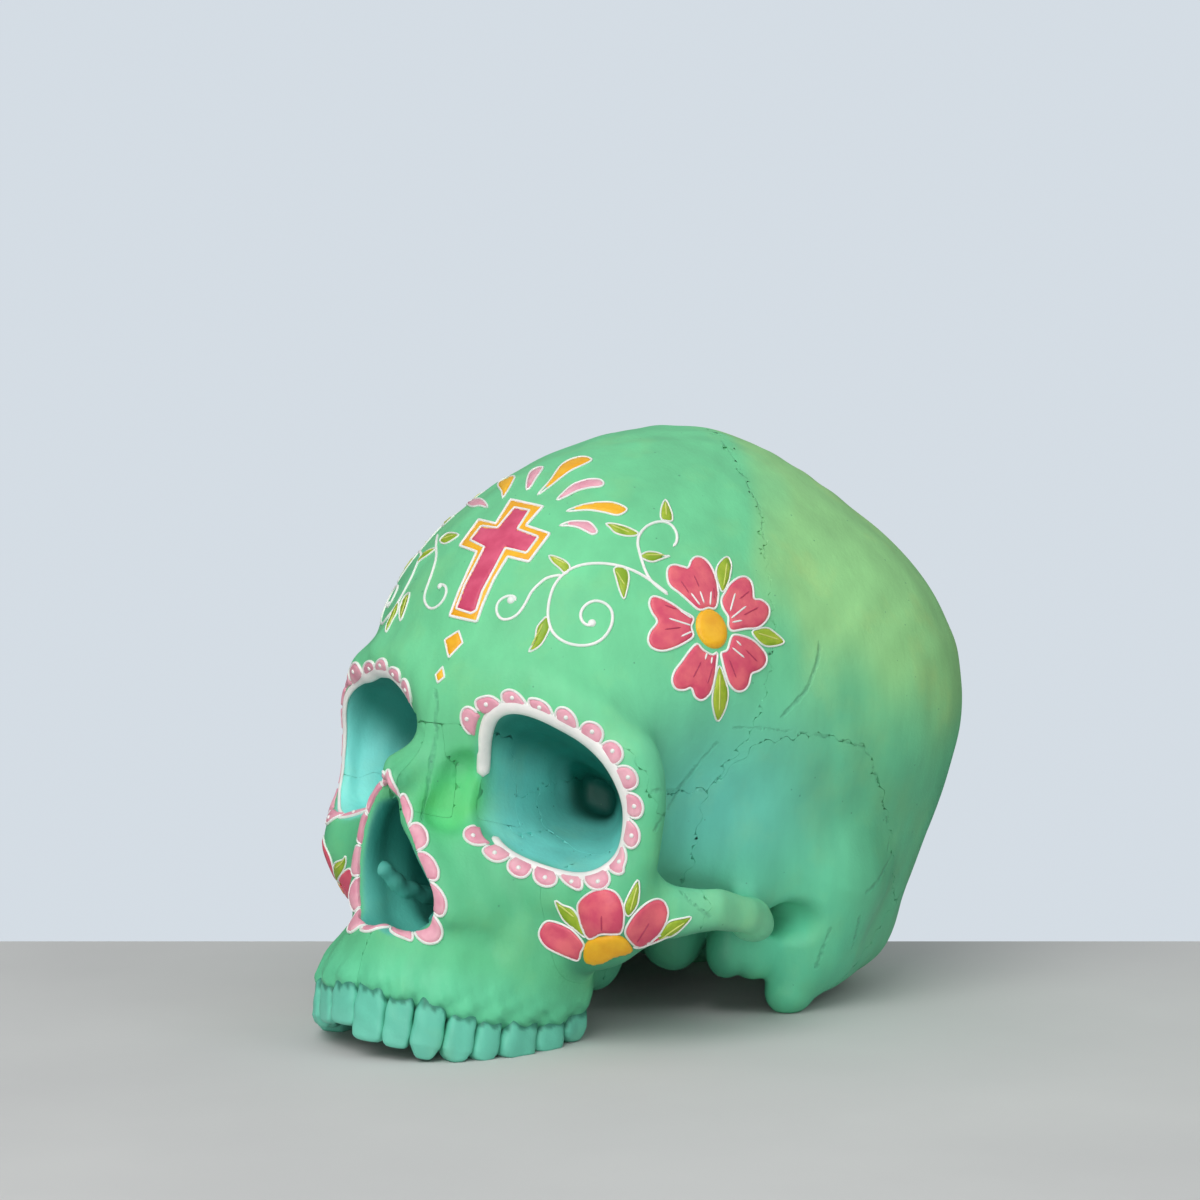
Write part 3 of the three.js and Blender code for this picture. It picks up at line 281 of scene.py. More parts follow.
def skull_form(points):
    """Distance from the cast's surface, negative inside; each blend width is in millimetres."""
    p = own_side(points)
    x, y, z = p[..., 0], p[..., 1], p[..., 2]
    px, py, pz = points[..., 0], points[..., 1], points[..., 2]
    inset = right_rim_inset * soft_spot(points, right_rim_place, right_rim_spread)
    rim = p + inset[..., None] * np.array([1, 0, 0])

    d = mass(p, *crown)
    for swell, width in ((forehead, 25), (back_of_head, 25), (side_of_head, 25), (low_head, 20)):
        d = blend(d, mass(p, *swell), width)
    nape = nape_slope[0] * (y - nape_place[0]) + nape_slope[1] * (z - nape_place[1]) + nape_cup * x * x
    base = -(z - base_level + base_tilt * (y - base_middle))
    temple = mass(p, *temple_hollow)
    below = mass(p, *under_hollow)
    room = carve(carve(d + vault_wall, nape + nape_wall, 8), base + base_wall, 8)
    room = carve(carve(room, vault_wall - temple, 12), vault_wall - below, 8)
    d = carve(carve(d, nape, 16), base, 14)
    d = blend(d, mass(p, *neck_swell), 10)
    d = carve(carve(d, -temple, 18), -below, 10)

    hollow, depth = socket(p)
    wall, _ = socket(p, socket_wall)
    wall = wall + inset * rim_wall_share
    d = blend(d, carve(wall, np.maximum(socket_lip - depth, depth - 1.0) * depth_scale, 4), 6)
    d = blend(d, ridge(rim, brow), 12)
    face = blend(ridge(rim, outer_rim), mass(p, *cheek_swell), 8)
    face = blend(face, ridge(p, lower_rim), 8)
    face = blend(face, ridge(p, nose_side), 5)
    face = blend(face, blend(ridge(p, nose_roof), ridge(p, nose_edge), 4), 7)
    face = blend(face, ridge(p, nose_flank), 5)
    face = blend(face, mass(p, *jaw_swell), 10)
    face = blend(face, ridge(p, gum_ridge), 8)
    for x0, y0, neck, radius in gum_collars:
        top = (x0 * collar_draw, y0 + collar_back, neck + collar_height)
        low = (x0, y0 + 0.6, neck + 1.6)
        face = blend(face, rod(p, top, low, radius * collar_taper, radius), 4)
    face = blend(face, mass(p, *palate_swell), 8)
    d = blend(d, face, 8)

    d = blend(d, ridge(p, cheek_arch, arch_squeeze), 6)
    d = blend(d, rod(p, *mastoid), 12)
    d = blend(d, rod(p, *neck_ridge), 10)
    for centre, half, width in base_lumps:
        d = blend(d, mass(p, centre, half), width)
    d = blend(d, rod(p, *wing_root), 8)

    d = carve(d, -carve(hollow, (depth - 0.97) * depth_scale, 2), 3)
    d = carve(d, -rod(p, *tear_hollow), 3)
    d = carve(d, -nose_hollow(p), 2.5)
    keep = np.maximum(socket_lip - depth, depth - 1.1) * depth_scale
    keep = carve(wall - room_clearance, keep, 4)
    d = carve(d, -carve(room, -keep, 4), 3)
    opening = np.sqrt((x / opening_half[0]) ** 2 + ((y - opening_middle) / opening_half[1]) ** 2) - 1
    d = carve(d, -np.maximum(opening * opening_half[0], z - opening_top), 4)
    d = carve(d, -rod(p, *ear_bore), 3)

    above_table = z * np.cos(skull_lean) - y * np.sin(skull_lean) + skull_lift
    dents = np.sin(0.33 * px + 2 * np.sin(0.13 * pz)) * np.sin(0.29 * py + 1.7 * np.sin(0.17 * px + 1))
    lumps = np.sin(1.1 * x + 0.7 * y) * np.sin(0.9 * z + 0.8 * x) * np.exp(-(((z + 43) / 6) ** 2))
    d = d + dent_depth * dents + gum_lumps * lumps * np.clip(-(y + 45) / 10, 0, 1)
    return np.maximum(d, -above_table)


grid_step = 0.9
grid_low = np.array([-80.0, -113.0, -64.0])
grid_high = np.array([80.0, 99.0, 133.0])
grid_block = 6
blocks_at_once = 2000
block_reach = grid_block * grid_step * 0.87
block_count = np.ceil((grid_high - grid_low) / grid_step / grid_block).astype(int)
block_middles = [
    grid_low[i] + (np.arange(block_count[i]) + 0.5) * grid_block * grid_step for i in range(3)
]
middles = np.stack(np.meshgrid(*block_middles, indexing="ij"), -1).reshape(-1, 3)
middle_form = skull_form(middles)
far_value = np.where(middle_form < 0, -1.0, 1.0) * block_reach * 0.3
form = far_value.reshape(block_count)
for axis in range(3):
    form = form.repeat(grid_block, axis)
near_blocks = np.argwhere((np.abs(middle_form) < block_reach * 1.5).reshape(block_count))
in_block = np.stack(np.meshgrid(*[np.arange(grid_block)] * 3, indexing="ij"), -1).reshape(-1, 3)
for start in range(0, len(near_blocks), blocks_at_once):
    cells = near_blocks[start : start + blocks_at_once]
    cells = (cells[:, None, :] * grid_block + in_block[None]).reshape(-1, 3)
    form[cells[:, 0], cells[:, 1], cells[:, 2]] = skull_form(cells * grid_step + grid_low)
form_axes = [grid_low[i] + np.arange(form.shape[i]) * grid_step for i in range(3)]


def read_grid(values, points, low=grid_low, step=grid_step):
    """A sampled form's value at any place, from the eight grid corners round it."""
    q = np.clip((points - low) / step, 0, np.array(values.shape) - 1.001)
    i = q.astype(int)
    t = q - i
    total = 0
    for corner in np.ndindex(2, 2, 2):
        weight = np.prod(np.where(np.array(corner) == 1, t, 1 - t), axis=-1)
        at = i + np.array(corner)
        total = total + weight * values[at[:, 0], at[:, 1], at[:, 2]]
    return total


def slope_of(values, points, low=grid_low, step=grid_step):
    """How fast a sampled form rises along each axis."""
    steps = np.eye(3) * step * 0.6
    rises = [read_grid(values, points + s, low, step) for s in steps]
    falls = [read_grid(values, points - s, low, step) for s in steps]
    return (np.stack(rises, -1) - np.stack(falls, -1)) / (1.2 * step)


whole_skull = (form, grid_low, grid_step)


def outward(points, guide=whole_skull):
    """The direction straight out of the surface."""
    slope = slope_of(guide[0], points, *guide[1:])
    return slope / (np.linalg.norm(slope, axis=-1, keepdims=True) + 1e-9)


def settle(points, times=4, guide=whole_skull):
    """Moves points onto the skull's surface along its own slope."""
    p = points.copy()
    for _ in range(times):
        slope = slope_of(guide[0], p, *guide[1:])
        move = read_grid(guide[0], p, *guide[1:]) / ((slope * slope).sum(-1) + 1e-6)
        p -= np.clip(move, -3, 3)[:, None] * slope
    return p


sight_reach = 320.0
sight_start = 720
close_enough = 0.03


def march(origin, heading, reach=sight_reach):
    """The first point of the skull along each line of sight, or the nearest one if it passes by."""
    p = origin.copy()
    nearest = origin.copy()
    least = np.full(len(p), 1e9)
    gone = np.zeros(len(p))
    live = np.ones(len(p), bool)
    for _ in range(400):
        gap = read_grid(form, p[live])
        places = np.flatnonzero(live)
        closer = gap < least[places]
        nearest[places[closer]] = p[places[closer]]
        least[places[closer]] = gap[closer]
        step = np.maximum(gap * 0.7, close_enough)
        moving = (gap > close_enough) & (gone[places] < reach)
        p[places[moving]] += step[moving][:, None] * heading[places[moving]]
        gone[places[moving]] += step[moving]
        live[places[~moving]] = False
        if not live.any():
            break
    missed = least > 0.1
    if missed.any():
        nearest[missed] = settle(nearest[missed], 8)
    return nearest


def seen_at(pixels, reach=sight_reach):
    """Where each picture place lies on the skull."""
    pixels = np.asarray(pixels, float)
    middle = picture_size / 2
    heading = (
        ((pixels[:, :1] - middle) / lens_pixels) * camera_right
        - ((pixels[:, 1:2] - middle) / lens_pixels) * camera_up
        - camera_back
    ) @ to_standing
    origin = np.repeat((camera_place @ to_standing)[None], len(pixels), 0) + heading * sight_start
    heading = heading / np.linalg.norm(heading, axis=-1, keepdims=True)
    return march(origin, heading, reach)


# Bones of the vault
# Frontal, two parietals and the occipital: curved plates about 7 mm thick, laid edge to edge
# along serrated sutures. Painted by hand, mint in front and yellower behind the coronal suture.
def surface_cells(values, low):
    """A mesh of the zero surface of a sampled form, one corner per cell."""
    inside = values < 0
    shape = np.array(values.shape) - 1
    corners = list(np.ndindex(2, 2, 2))
    count = np.zeros(shape, np.uint8)
    for i, j, k in corners:
        count += inside[i : shape[0] + i, j : shape[1] + j, k : shape[2] + k]
    cells = np.argwhere((count > 0) & (count < 8))
    number = np.full(shape, -1, np.int64)
    number[tuple(cells.T)] = np.arange(len(cells))
    total = np.zeros((len(cells), 3))
    crossings = np.zeros(len(cells))
    for corner in corners:
        for axis in range(3):
            if corner[axis]:
                continue
            end = np.array(corner)
            end[axis] = 1
            a = values[tuple((cells + np.array(corner)).T)]
            b = values[tuple((cells + end).T)]
            crossed = (a < 0) != (b < 0)
            spot = np.repeat(np.array(corner, float)[None], len(cells), 0)
            spot[:, axis] += np.where(crossed, a / np.where(crossed, a - b, 1), 0)
            total += spot * crossed[:, None]
            crossings += crossed
    points = (total / crossings[:, None] + cells) * grid_step + low
    faces = []
    for axis in range(3):
        second, third = (axis + 1) % 3, (axis + 2) % 3
        lower = [slice(1, -1)] * 3
        upper = [slice(1, -1)] * 3
        lower[axis] = slice(0, values.shape[axis] - 1)
        upper[axis] = slice(1, values.shape[axis])
        edges = np.argwhere(inside[tuple(lower)] != inside[tuple(upper)])
        rising = inside[tuple(upper)][tuple(edges.T)]
        edges[:, second] += 1
        edges[:, third] += 1
        ring = []
        for back_second, back_third in ((1, 1), (0, 1), (0, 0), (1, 0)):
            cell = edges.copy()
            cell[:, second] -= back_second
            cell[:, third] -= back_third
            ring.append(number[tuple(cell.T)])
        quads = np.stack(ring, -1)
        quads[rising] = quads[rising][:, ::-1]
        faces.append(quads)
    return points, np.concatenate(faces)


def crisp_edges(points, region, low):
    """Draws the corners of a cut bone onto the line where its seam meets the surface."""
    p = points.copy()
    for _ in range(3):
        at_form = read_grid(form, p)
        at_region = read_grid(region, p, low)
        form_slope = slope_of(form, p)
        region_slope = slope_of(region, p, low)
        near_form = np.abs(at_form) < grid_step * 0.9
        near_region = np.abs(at_region) < grid_step * 0.9
        ff = (form_slope**2).sum(-1) + 1e-6
        rr = (region_slope**2).sum(-1) + 1e-6
        fr = (form_slope * region_slope).sum(-1)
        det = np.maximum(ff * rr - fr * fr, 0.15)
        a = (at_form * rr - at_region * fr) / det
        b = (at_region * ff - at_form * fr) / det
        edge = near_form & near_region & (at_form > -0.6 * grid_step) & (at_region > -0.6 * grid_step)
        move = np.where(edge[:, None], a[:, None] * form_slope + b[:, None] * region_slope, 0)
        skin = near_form & ~edge & (at_region < at_form)
        move = np.where(skin[:, None], (at_form / ff)[:, None] * form_slope, move)
        p -= np.clip(move, -0.6 * grid_step, 0.6 * grid_step)
    return p


def outline_distance(outline, a, b):
    """Signed distance of a flat grid of places from a closed outline, negative inside."""
    outline = np.array(outline, float)
    best = np.full(np.broadcast(a, b).shape, 1e9)
    inside = np.zeros(best.shape, bool)
    for (a0, b0), (a1, b1) in zip(outline, np.roll(outline, -1, 0)):
        da, db = a1 - a0, b1 - b0
        t = np.clip(((a - a0) * da + (b - b0) * db) / (da * da + db * db + 1e-12), 0, 1)
        best = np.minimum(best, (a - a0 - t * da) ** 2 + (b - b0 - t * db) ** 2)
        crosses = ((b0 > b) != (b1 > b)) & (
            a < da * (b - b0) / np.where(db == 0, 1e-12, db) + a0
        )
        inside ^= crosses
    return np.where(inside, -1, 1) * np.sqrt(best)


def serrated(start, end, count, depth):
    """A zigzag seam line between two places, without its end place."""
    start, end = np.array(start, float), np.array(end, float)
    run = end - start
    normal = np.array([-run[1], run[0]]) / np.linalg.norm(run)
    along = np.arange(2 * count) / (2 * count)
    off = np.where(np.arange(2 * count) % 2 == 1, depth, -depth) / 2
    off[0] = 0
    return [tuple(q) for q in start + run * along[:, None] + normal * off[:, None]]


grid_x = form_axes[0][:, None, None]
grid_y = form_axes[1][None, :, None]
grid_z = form_axes[2][None, None, :]
wide_x = np.abs(grid_x)
side_y = form_axes[1][:, None] + 0.7 * np.sin(1.1 * form_axes[2] + 1.3)[None, :]
side_z = form_axes[2][None, :] + 0.7 * np.sin(1.3 * form_axes[1] + 0.4)[:, None]


def side_view(outline):
    """A region cut across the skull by an outline drawn from the side."""
    return outline_distance(outline, side_y, side_z)[None, :, :]


def front_view(outline):
    """A region cut through the skull by an outline drawn from the front, on both sides."""
    wide, high = np.abs(form_axes[0])[:, None], form_axes[2][None, :]
    return outline_distance(outline, wide, high)[:, None, :]


taken = np.full(form.shape, 50.0, np.float32)
from_seam = np.full(form.shape, 50.0, np.float32)
open_seam = np.clip((grid_y + 58) / 12, 0, 1) * np.clip((grid_z + 14) / 10, 0, 1)
seam_wave = 0.5 + 0.5 * np.sin(0.9 * grid_y + 1.9 * np.sin(0.37 * grid_z)) * np.sin(
    0.8 * grid_z + 1.4 * np.sin(0.29 * grid_y)
)
half_seam = (0.03 + 0.03 * open_seam * seam_wave).astype(np.float32)


def claim(region):
    """Gives a region to a bone, less what earlier bones hold."""
    region = np.broadcast_to(region, form.shape).astype(np.float32)
    bone = np.maximum(region, -taken) + half_seam
    np.minimum(taken, region, out=taken)
    np.minimum(from_seam, np.abs(bone), out=from_seam)
    return bone


def linear(colour):
    """A colour as a painter's chart gives it, in linear light."""
    c = np.array(colour, float) / 255
    return np.where(c <= 0.04045, c / 12.92, ((c + 0.055) / 1.055) ** 2.4)


def ease(low, high, value):
    """A smooth rise from 0 to 1 between two values."""
    t = np.clip((value - low) / (high - low), 0, 1)
    return t * t * (3 - 2 * t)


mint = linear((112, 207, 150))
olive = linear((147, 209, 138))
leaf_green = linear((100, 190, 142))
temple_teal = linear((112, 212, 198))
arch_green = linear((128, 207, 150))
socket_teal = linear((130, 230, 222))
# Painted shade: dark teal for the upper and deep parts of the sockets and the nose, and darkest at the
# socket apex.
painted_hollow_shade = linear((22, 116, 104))
painted_deep_shade = linear((8, 82, 72))
# Teal of the nose walls, darker than the socket teal as painted shade.
shaded_nose_teal = linear((84, 178, 164))
hollow_green = linear((84, 200, 122))
# Painted shade: dark green under the skull, on faces turned down and inside the braincase.
painted_under_shade = linear((50, 128, 100))
face_green = linear((88, 184, 132))
mastoid_green = linear((92, 200, 160))
gum_green = linear((98, 200, 152))
temple_patch = (52, -38, 14), (28, 28, 28)
arch_patch = (64, -36, -8), (10, 26, 9)
mastoid_patch = (54, 6, -14), (16, 24, 22)
tear_patch = (13.5, -89, 9), (5.5, 8, 10)
brain_room = (0, 0, 45), (54, 66, 68)
coronal_heights = [22, 65, 82, 98, 112, 121, 144]
coronal_places = [-30, -34, -33, -28, -23, -14, -8]
yellow_heights = 24, 74


def bone_paint(points, normals):
    """The painter's colours over the skull, one tone running into the next, with painted shade in the
    sockets, the nose, the braincase and underneath.
    """
    p = own_side(points)
    x, y, z = p[:, 0], p[:, 1], p[:, 2]
    colour = np.repeat(mint[None], len(p), 0)

    def lay(tone, amount):
        nonlocal colour
        colour = colour + (tone - colour) * amount[:, None]

    # Behind the coronal suture the mint turns yellower, greener again lower down.
    wander = 5 * np.sin(0.11 * z + 1.5 * np.sin(0.07 * y)) + 3 * np.sin(0.23 * y + 0.19 * x)
    seam_y = np.interp(z, coronal_heights, coronal_places)
    behind = ease(-3, 10, y - seam_y + 0.8 * wander)
    high = ease(*yellow_heights, z + wander)
    lay(olive, behind * high)
    lay(leaf_green, behind * (1 - high))

    # The temple, the cheek arch, the face and gums, the mastoid, and painted shade under the skull and on
    # faces turned down.
    lay(temple_teal, 0.9 * soft_spot(p, *temple_patch))
    lay(arch_green, 0.8 * soft_spot(p, *arch_patch))
    lay(face_green, 0.85 * ease(30, 8, z) * ease(-50, -66, y))
    lay(gum_green, 0.9 * ease(-30, -40, z) * ease(-40, -50, y))
    lay(mastoid_green, 0.9 * soft_spot(p, *mastoid_patch))
    lay(painted_under_shade, 0.85 * ease(-7, -14, z) * ease(-56, -48, y) * ease(50, 44, x) * ease(52, 30, y))
    lay(painted_under_shade, 0.7 * ease(-0.3, -0.9, normals[:, 2]) * ease(-30, -40, y) * ease(0, -20, z))

    # The sockets, with painted shade above and toward the apex; the right one is lit further in.
    hollow, depth = socket(p)
    up = (p - socket_centre) @ socket_up
    out = (p - socket_centre) @ socket_out
    right = points[:, 0] < 0
    brink = 0.28 * np.maximum(ease(2, 10, out), right)
    in_socket = ease(2.2, 0.7, hollow) * ease(-0.12, 0.08, depth + brink)
    lay(socket_teal, in_socket)
    over = up + np.where(right, 32 * depth - 3.6, 0.45 * out)
    deep = ease(0.68, 0.92, depth)
    lay(painted_hollow_shade, in_socket * np.clip(0.8 * deep + 0.95 * ease(-4, 8, over), 0, 1))
    lay(painted_deep_shade, 0.9 * in_socket * ease(0.78, 0.96, depth))
    lay(hollow_green, np.clip(1.6 * soft_spot(p, *tear_patch), 0, 1))

    # The nose opening in a darkened teal, with painted shade above and far in, and painted shade inside the
    # braincase.
    in_nose = ease(1.6, 0.5, nose_hollow(p))
    lay(shaded_nose_teal, in_nose)
    lay(painted_hollow_shade, in_nose * np.clip(0.7 * ease(-88, -70, y) + 0.85 * ease(-22, -8, z), 0, 0.9))
    lay(painted_under_shade, ease(-2, -6, mass(p, *brain_room)) * ease(-52, -44, y) * (1 - in_socket))
    return colour


brush_turn = (0.5, 0.3, 0.2)
brush_stretch = (1, 1, 0.22)
broad_scale, streak_scale, grain_scale, lump_scale = 32, 150, 900, 90
thin_scale, thin_from, thin_gain = 55, 0.52, 3.0
thin_tint = (1.4, 1.02, 0.9, 1)
pit_scale, pit_size, pit_share = 210, 0.125, 0.5
pit_tone = (0.05, 0.22, 0.14, 1)
ragged_scale, ragged_reach, crack_width, crack_share = 420, 1.6, 0.75, 0.36
crack_tone = (0.06, 0.25, 0.16, 1)
paint_specular = 0.35
paint_bump, paint_relief = 0.5, 0.0004


def paint_material(name):
    """Satin acrylic brushed on resin: streaks, thin spots, pits and dark crack lines."""
    material = bpy.data.materials.new(name)
    material.use_nodes = True
    nodes, links = material.node_tree.nodes, material.node_tree.links
    shader = nodes["Principled BSDF"]
    place = nodes.new("ShaderNodeTexCoord").outputs["Object"]

    def fill(made, values):
        for slot, value in values:
            if isinstance(value, (int, float, tuple)):
                made.inputs[slot].default_value = value
            else:
                links.new(value, made.inputs[slot])

    def calc(operation, *values):
        made = nodes.new("ShaderNodeMath")
        made.operation = operation
        fill(made, enumerate(values))
        return made.outputs[0]

    def mix(amount, a, b, kind="MIX"):
        made = nodes.new("ShaderNodeMix")
        made.data_type = "RGBA"
        made.blend_type = kind
        fill(made, ((0, amount), (6, a), (7, b)))
        return made.outputs[2]

    def layer(attribute, output):
        made = nodes.new("ShaderNodeAttribute")
        made.attribute_name = attribute
        return made.outputs[output]

    def noise(scale, detail, stretch=None):
        source = place
        if stretch:
            mapping = nodes.new("ShaderNodeMapping")
            fill(mapping, (("Scale", stretch), ("Rotation", brush_turn), ("Vector", place)))
            source = mapping.outputs[0]
        made = nodes.new("ShaderNodeTexNoise")
        fill(made, (("Scale", scale), ("Detail", detail), ("Roughness", 0.55), ("Vector", source)))
        return made.outputs["Fac"]

    paint = layer("paint", "Color")
    crack = layer("crack", "Fac")
    broad = noise(broad_scale, 3)
    streak = noise(streak_scale, 4, brush_stretch)
    grain = noise(grain_scale, 3)
    shade = calc("ADD", calc("MULTIPLY", broad, 0.34), calc("MULTIPLY", streak, 0.3))
    shade = calc("ADD", shade, 0.68)
    coat = mix(1.0, paint, shade, "MULTIPLY")
    thin = calc("MULTIPLY", calc("SUBTRACT", noise(thin_scale, 5), thin_from), thin_gain)
    thin = calc("MAXIMUM", calc("SMOOTH_MIN", thin, 1.0, 0.1), 0.0)
    coat = mix(thin, coat, thin_tint, "MULTIPLY")
    pits = nodes.new("ShaderNodeTexVoronoi")
    fill(pits, (("Scale", pit_scale), ("Vector", place)))
    pit = calc("ADD", pits.outputs["Distance"], calc("MULTIPLY", broad, 0.16))
    coat = mix(calc("MULTIPLY", calc("LESS_THAN", pit, pit_size), pit_share), coat, pit_tone)
    ragged = calc("MULTIPLY", calc("SUBTRACT", noise(ragged_scale, 3), 0.5), ragged_reach)
    line = calc("SUBTRACT", 1.0, calc("DIVIDE", calc("ADD", crack, ragged), crack_width))
    line = calc("MINIMUM", calc("MAXIMUM", line, 0.0), 1.0)
    coat = mix(calc("MULTIPLY", line, crack_share), coat, crack_tone)
    rough = calc("ADD", calc("MULTIPLY", streak, 0.24), 0.4)
    fill(shader, (("Base Color", coat), ("Roughness", rough), ("Specular IOR Level", paint_specular)))
    height = calc("ADD", calc("MULTIPLY", streak, 1.0), calc("MULTIPLY", grain, 0.4))
    height = calc("ADD", height, calc("MULTIPLY", noise(lump_scale, 4), 1.2))
    height = calc("SUBTRACT", height, calc("MULTIPLY", line, 1.6))
    bump = nodes.new("ShaderNodeBump")
    fill(bump, (("Strength", paint_bump), ("Distance", paint_relief), ("Height", height)))
    links.new(bump.outputs[0], shader.inputs["Normal"])
    return material


vault_paint = paint_material("vault_paint")

coronal_crack = [(715, 433), (726, 446), (733, 457), (741, 470), (747, 483), (760, 507), (763, 530)]
coronal_crack += [(765, 560)]
temple_crack = [(820, 640), (818, 660), (812, 678), (807, 690), (795, 703), (782, 717)]
squama_line = [(733, 728), (757, 728), (777, 730), (800, 733), (827, 737), (847, 743), (865, 747)]
squama_line += [(877, 777), (883, 803), (890, 833), (887, 857)]
wing_line = [(717, 743), (695, 768), (680, 787), (667, 810), (655, 830)]
rim_crack = [(650, 792), (662, 790), (673, 792)]
cheek_crack = [(682, 892), (692, 903), (710, 917)]
nape_crack = [(893, 853), (877, 883), (867, 893)]
mastoid_crack = [(860, 917), (853, 947)]
neck_crack = [(830, 930), (817, 967)]
brow_crack = [(435, 690), (437, 705), (434, 725)]
nose_crack = [(437, 727), (432, 760), (428, 790), (420, 825), (415, 850)]


def near_path(points, path):
    """Distance of each place from a path."""
    best = np.full(len(points), 1e9)
    for a, b in zip(path, path[1:]):
        run = b - a
        t = np.clip(((points - a) @ run) / (run @ run + 1e-9), 0, 1)
        best = np.minimum(best, ((points - a - t[:, None] * run) ** 2).sum(-1))
    return np.sqrt(best)


def densely(path, spacing):
    """A path with evenly spaced places, no further apart than the spacing."""
    path = np.asarray(path, float)
    gaps = np.linalg.norm(np.diff(path, axis=0), axis=1)
    reach = np.concatenate([[0], np.cumsum(gaps)])
    wanted = np.linspace(0, reach[-1], max(2, int(np.ceil(reach[-1] / spacing)) + 1))
    return np.stack([np.interp(wanted, reach, path[:, i]) for i in range(path.shape[1])], -1)


other_hand = np.array([-1.0, 1.0, 1.0])
filled_seam = 0.3
crack_spacing = 6
no_crack = 20.0
crack_paths = []
for seen_crack in (coronal_crack, squama_line, temple_crack, wing_line, rim_crack, cheek_crack):
    crack_path = seen_at(densely(seen_crack, crack_spacing))
    filled = filled_seam if seen_crack in (coronal_crack, squama_line) else 0.0
    crack_paths += [(crack_path, filled), (crack_path * other_hand, filled)]
for seen_crack in (nape_crack, mastoid_crack, neck_crack, brow_crack, nose_crack):
    crack_paths.append((seen_at(densely(seen_crack, crack_spacing)), 0.0))


def new_piece(name, points, faces, material, sharp=None):
    """A mesh of one paint on the skull's body, with edges sharper than an angle left crisp."""
    mesh = bpy.data.meshes.new(name)
    mesh.from_pydata(stand(points).tolist(), [], [list(f) for f in faces])
    mesh.validate()
    mesh.shade_smooth()
    if sharp:
        mesh.set_sharp_from_angle(angle=np.radians(sharp))
    piece = bpy.data.objects.new(name, mesh)
    bpy.context.collection.objects.link(piece)
    mesh.materials.append(material)
    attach(piece, "root")
    return piece


def tint(piece, colours, cracks=no_crack):
    """Gives a piece its paint colours and its distances from the nearest crack, corner by corner."""
    mesh = piece.data
    shades = np.ones((len(mesh.vertices), 4), np.float32)
    shades[:, :3] = colours
    mesh.attributes.new("paint", "FLOAT_COLOR", "POINT").data.foreach_set("color", shades.ravel())
    distances = np.broadcast_to(cracks, len(mesh.vertices)).astype(np.float32)
    mesh.attributes.new("crack", "FLOAT", "POINT").data.foreach_set("value", distances)


bone_crease = 38


def cut_bone(node, region, material):
    """Cuts one bone from the form, paints it, and lets it stand for its solid."""
    whole = np.maximum(form, region)
    held = np.argwhere(whole < grid_step)
    low = np.maximum(held.min(0) - 2, 0)
    high = np.minimum(held.max(0) + 3, np.array(form.shape))
    crop = tuple(slice(a, b) for a, b in zip(low, high))
    corner = grid_low + low * grid_step
    points, faces = surface_cells(whole[crop], corner)
    points = crisp_edges(points, region[crop], corner)
    piece = new_piece(f"{node}_bone", points, faces, material, bone_crease)
    cracks = np.full(len(points), no_crack)
    for path, filled in crack_paths:
        cracks = np.minimum(cracks, near_path(points, path) + filled)
    tint(piece, bone_paint(points, outward(points)), cracks)
    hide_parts(node)


bregma, pterion, asterion, lambda_point = (-8.3, 144.3), (-38, 22), (41.4, 4), (87.6, 92)
socket_corner = (-68.9, 11)
coronal_bends = [bregma, (-14, 121), (-23, 112), (-28, 98), (-33, 82), (-34, 65), pterion]
suture_pitch = 4
suture_depth = 1.4
coronal = []
for start, end in zip(coronal_bends, coronal_bends[1:]):
    stretch = np.hypot(end[0] - start[0], end[1] - start[1])
    coronal += serrated(start, end, max(1, round(stretch / suture_pitch)), suture_depth)
lambdoid_count, lambdoid_depth = 6, 3
lambdoid = serrated(lambda_point, asterion, lambdoid_count, lambdoid_depth)
squamous = [pterion, (-33, 36), (-16, 41.5), (0, 41.2), (9, 33.5), (22, 21), (28, 12)]
beyond = 200
frontal_outline = coronal + [pterion, (-60, 16), socket_corner, (-76.9, 26), (-beyond, 26)]
frontal_outline += [(-beyond, beyond), (bregma[0], beyond)]
parietal_outline = [pterion] + coronal[::-1] + [(bregma[0], beyond), (beyond, beyond), (beyond, 152)]
parietal_outline += lambdoid + [asterion] + squamous[::-1]
occipital_outline = serrated(asterion, lambda_point, lambdoid_count, -lambdoid_depth)
occipital_outline += [lambda_point, (beyond, 152), (beyond, -beyond), (14, -beyond), (20, -20)]

nasal_region = np.maximum(front_view([(0, 26), (5.5, 26), (8.5, 3), (0, 3)]), grid_y + 80)
sagittal = 1.5 * (np.abs((grid_y / 15.4 * 2 + 1000) % 4 - 2) - 1)
nasal_claims = {
    "left_nasal": claim(np.maximum(nasal_region, -grid_x)),
    "right_nasal": claim(np.maximum(nasal_region, grid_x)),
}
frontal_claim = claim(side_view(frontal_outline))
cut_bone("frontal", frontal_claim, vault_paint)
parietal_region = side_view(parietal_outline)
left_claim = claim(np.maximum(parietal_region, sagittal - grid_x))
cut_bone("left_parietal", left_claim, vault_paint)
right_claim = claim(np.maximum(parietal_region, grid_x - sagittal))
cut_bone("right_parietal", right_claim, vault_paint)
base_block = np.maximum(np.maximum(wide_x - 20, -15 - grid_y), grid_z - 20)
occipital_claim = claim(np.minimum(side_view(occipital_outline), base_block))
cut_bone("occipital", occipital_claim, vault_paint)


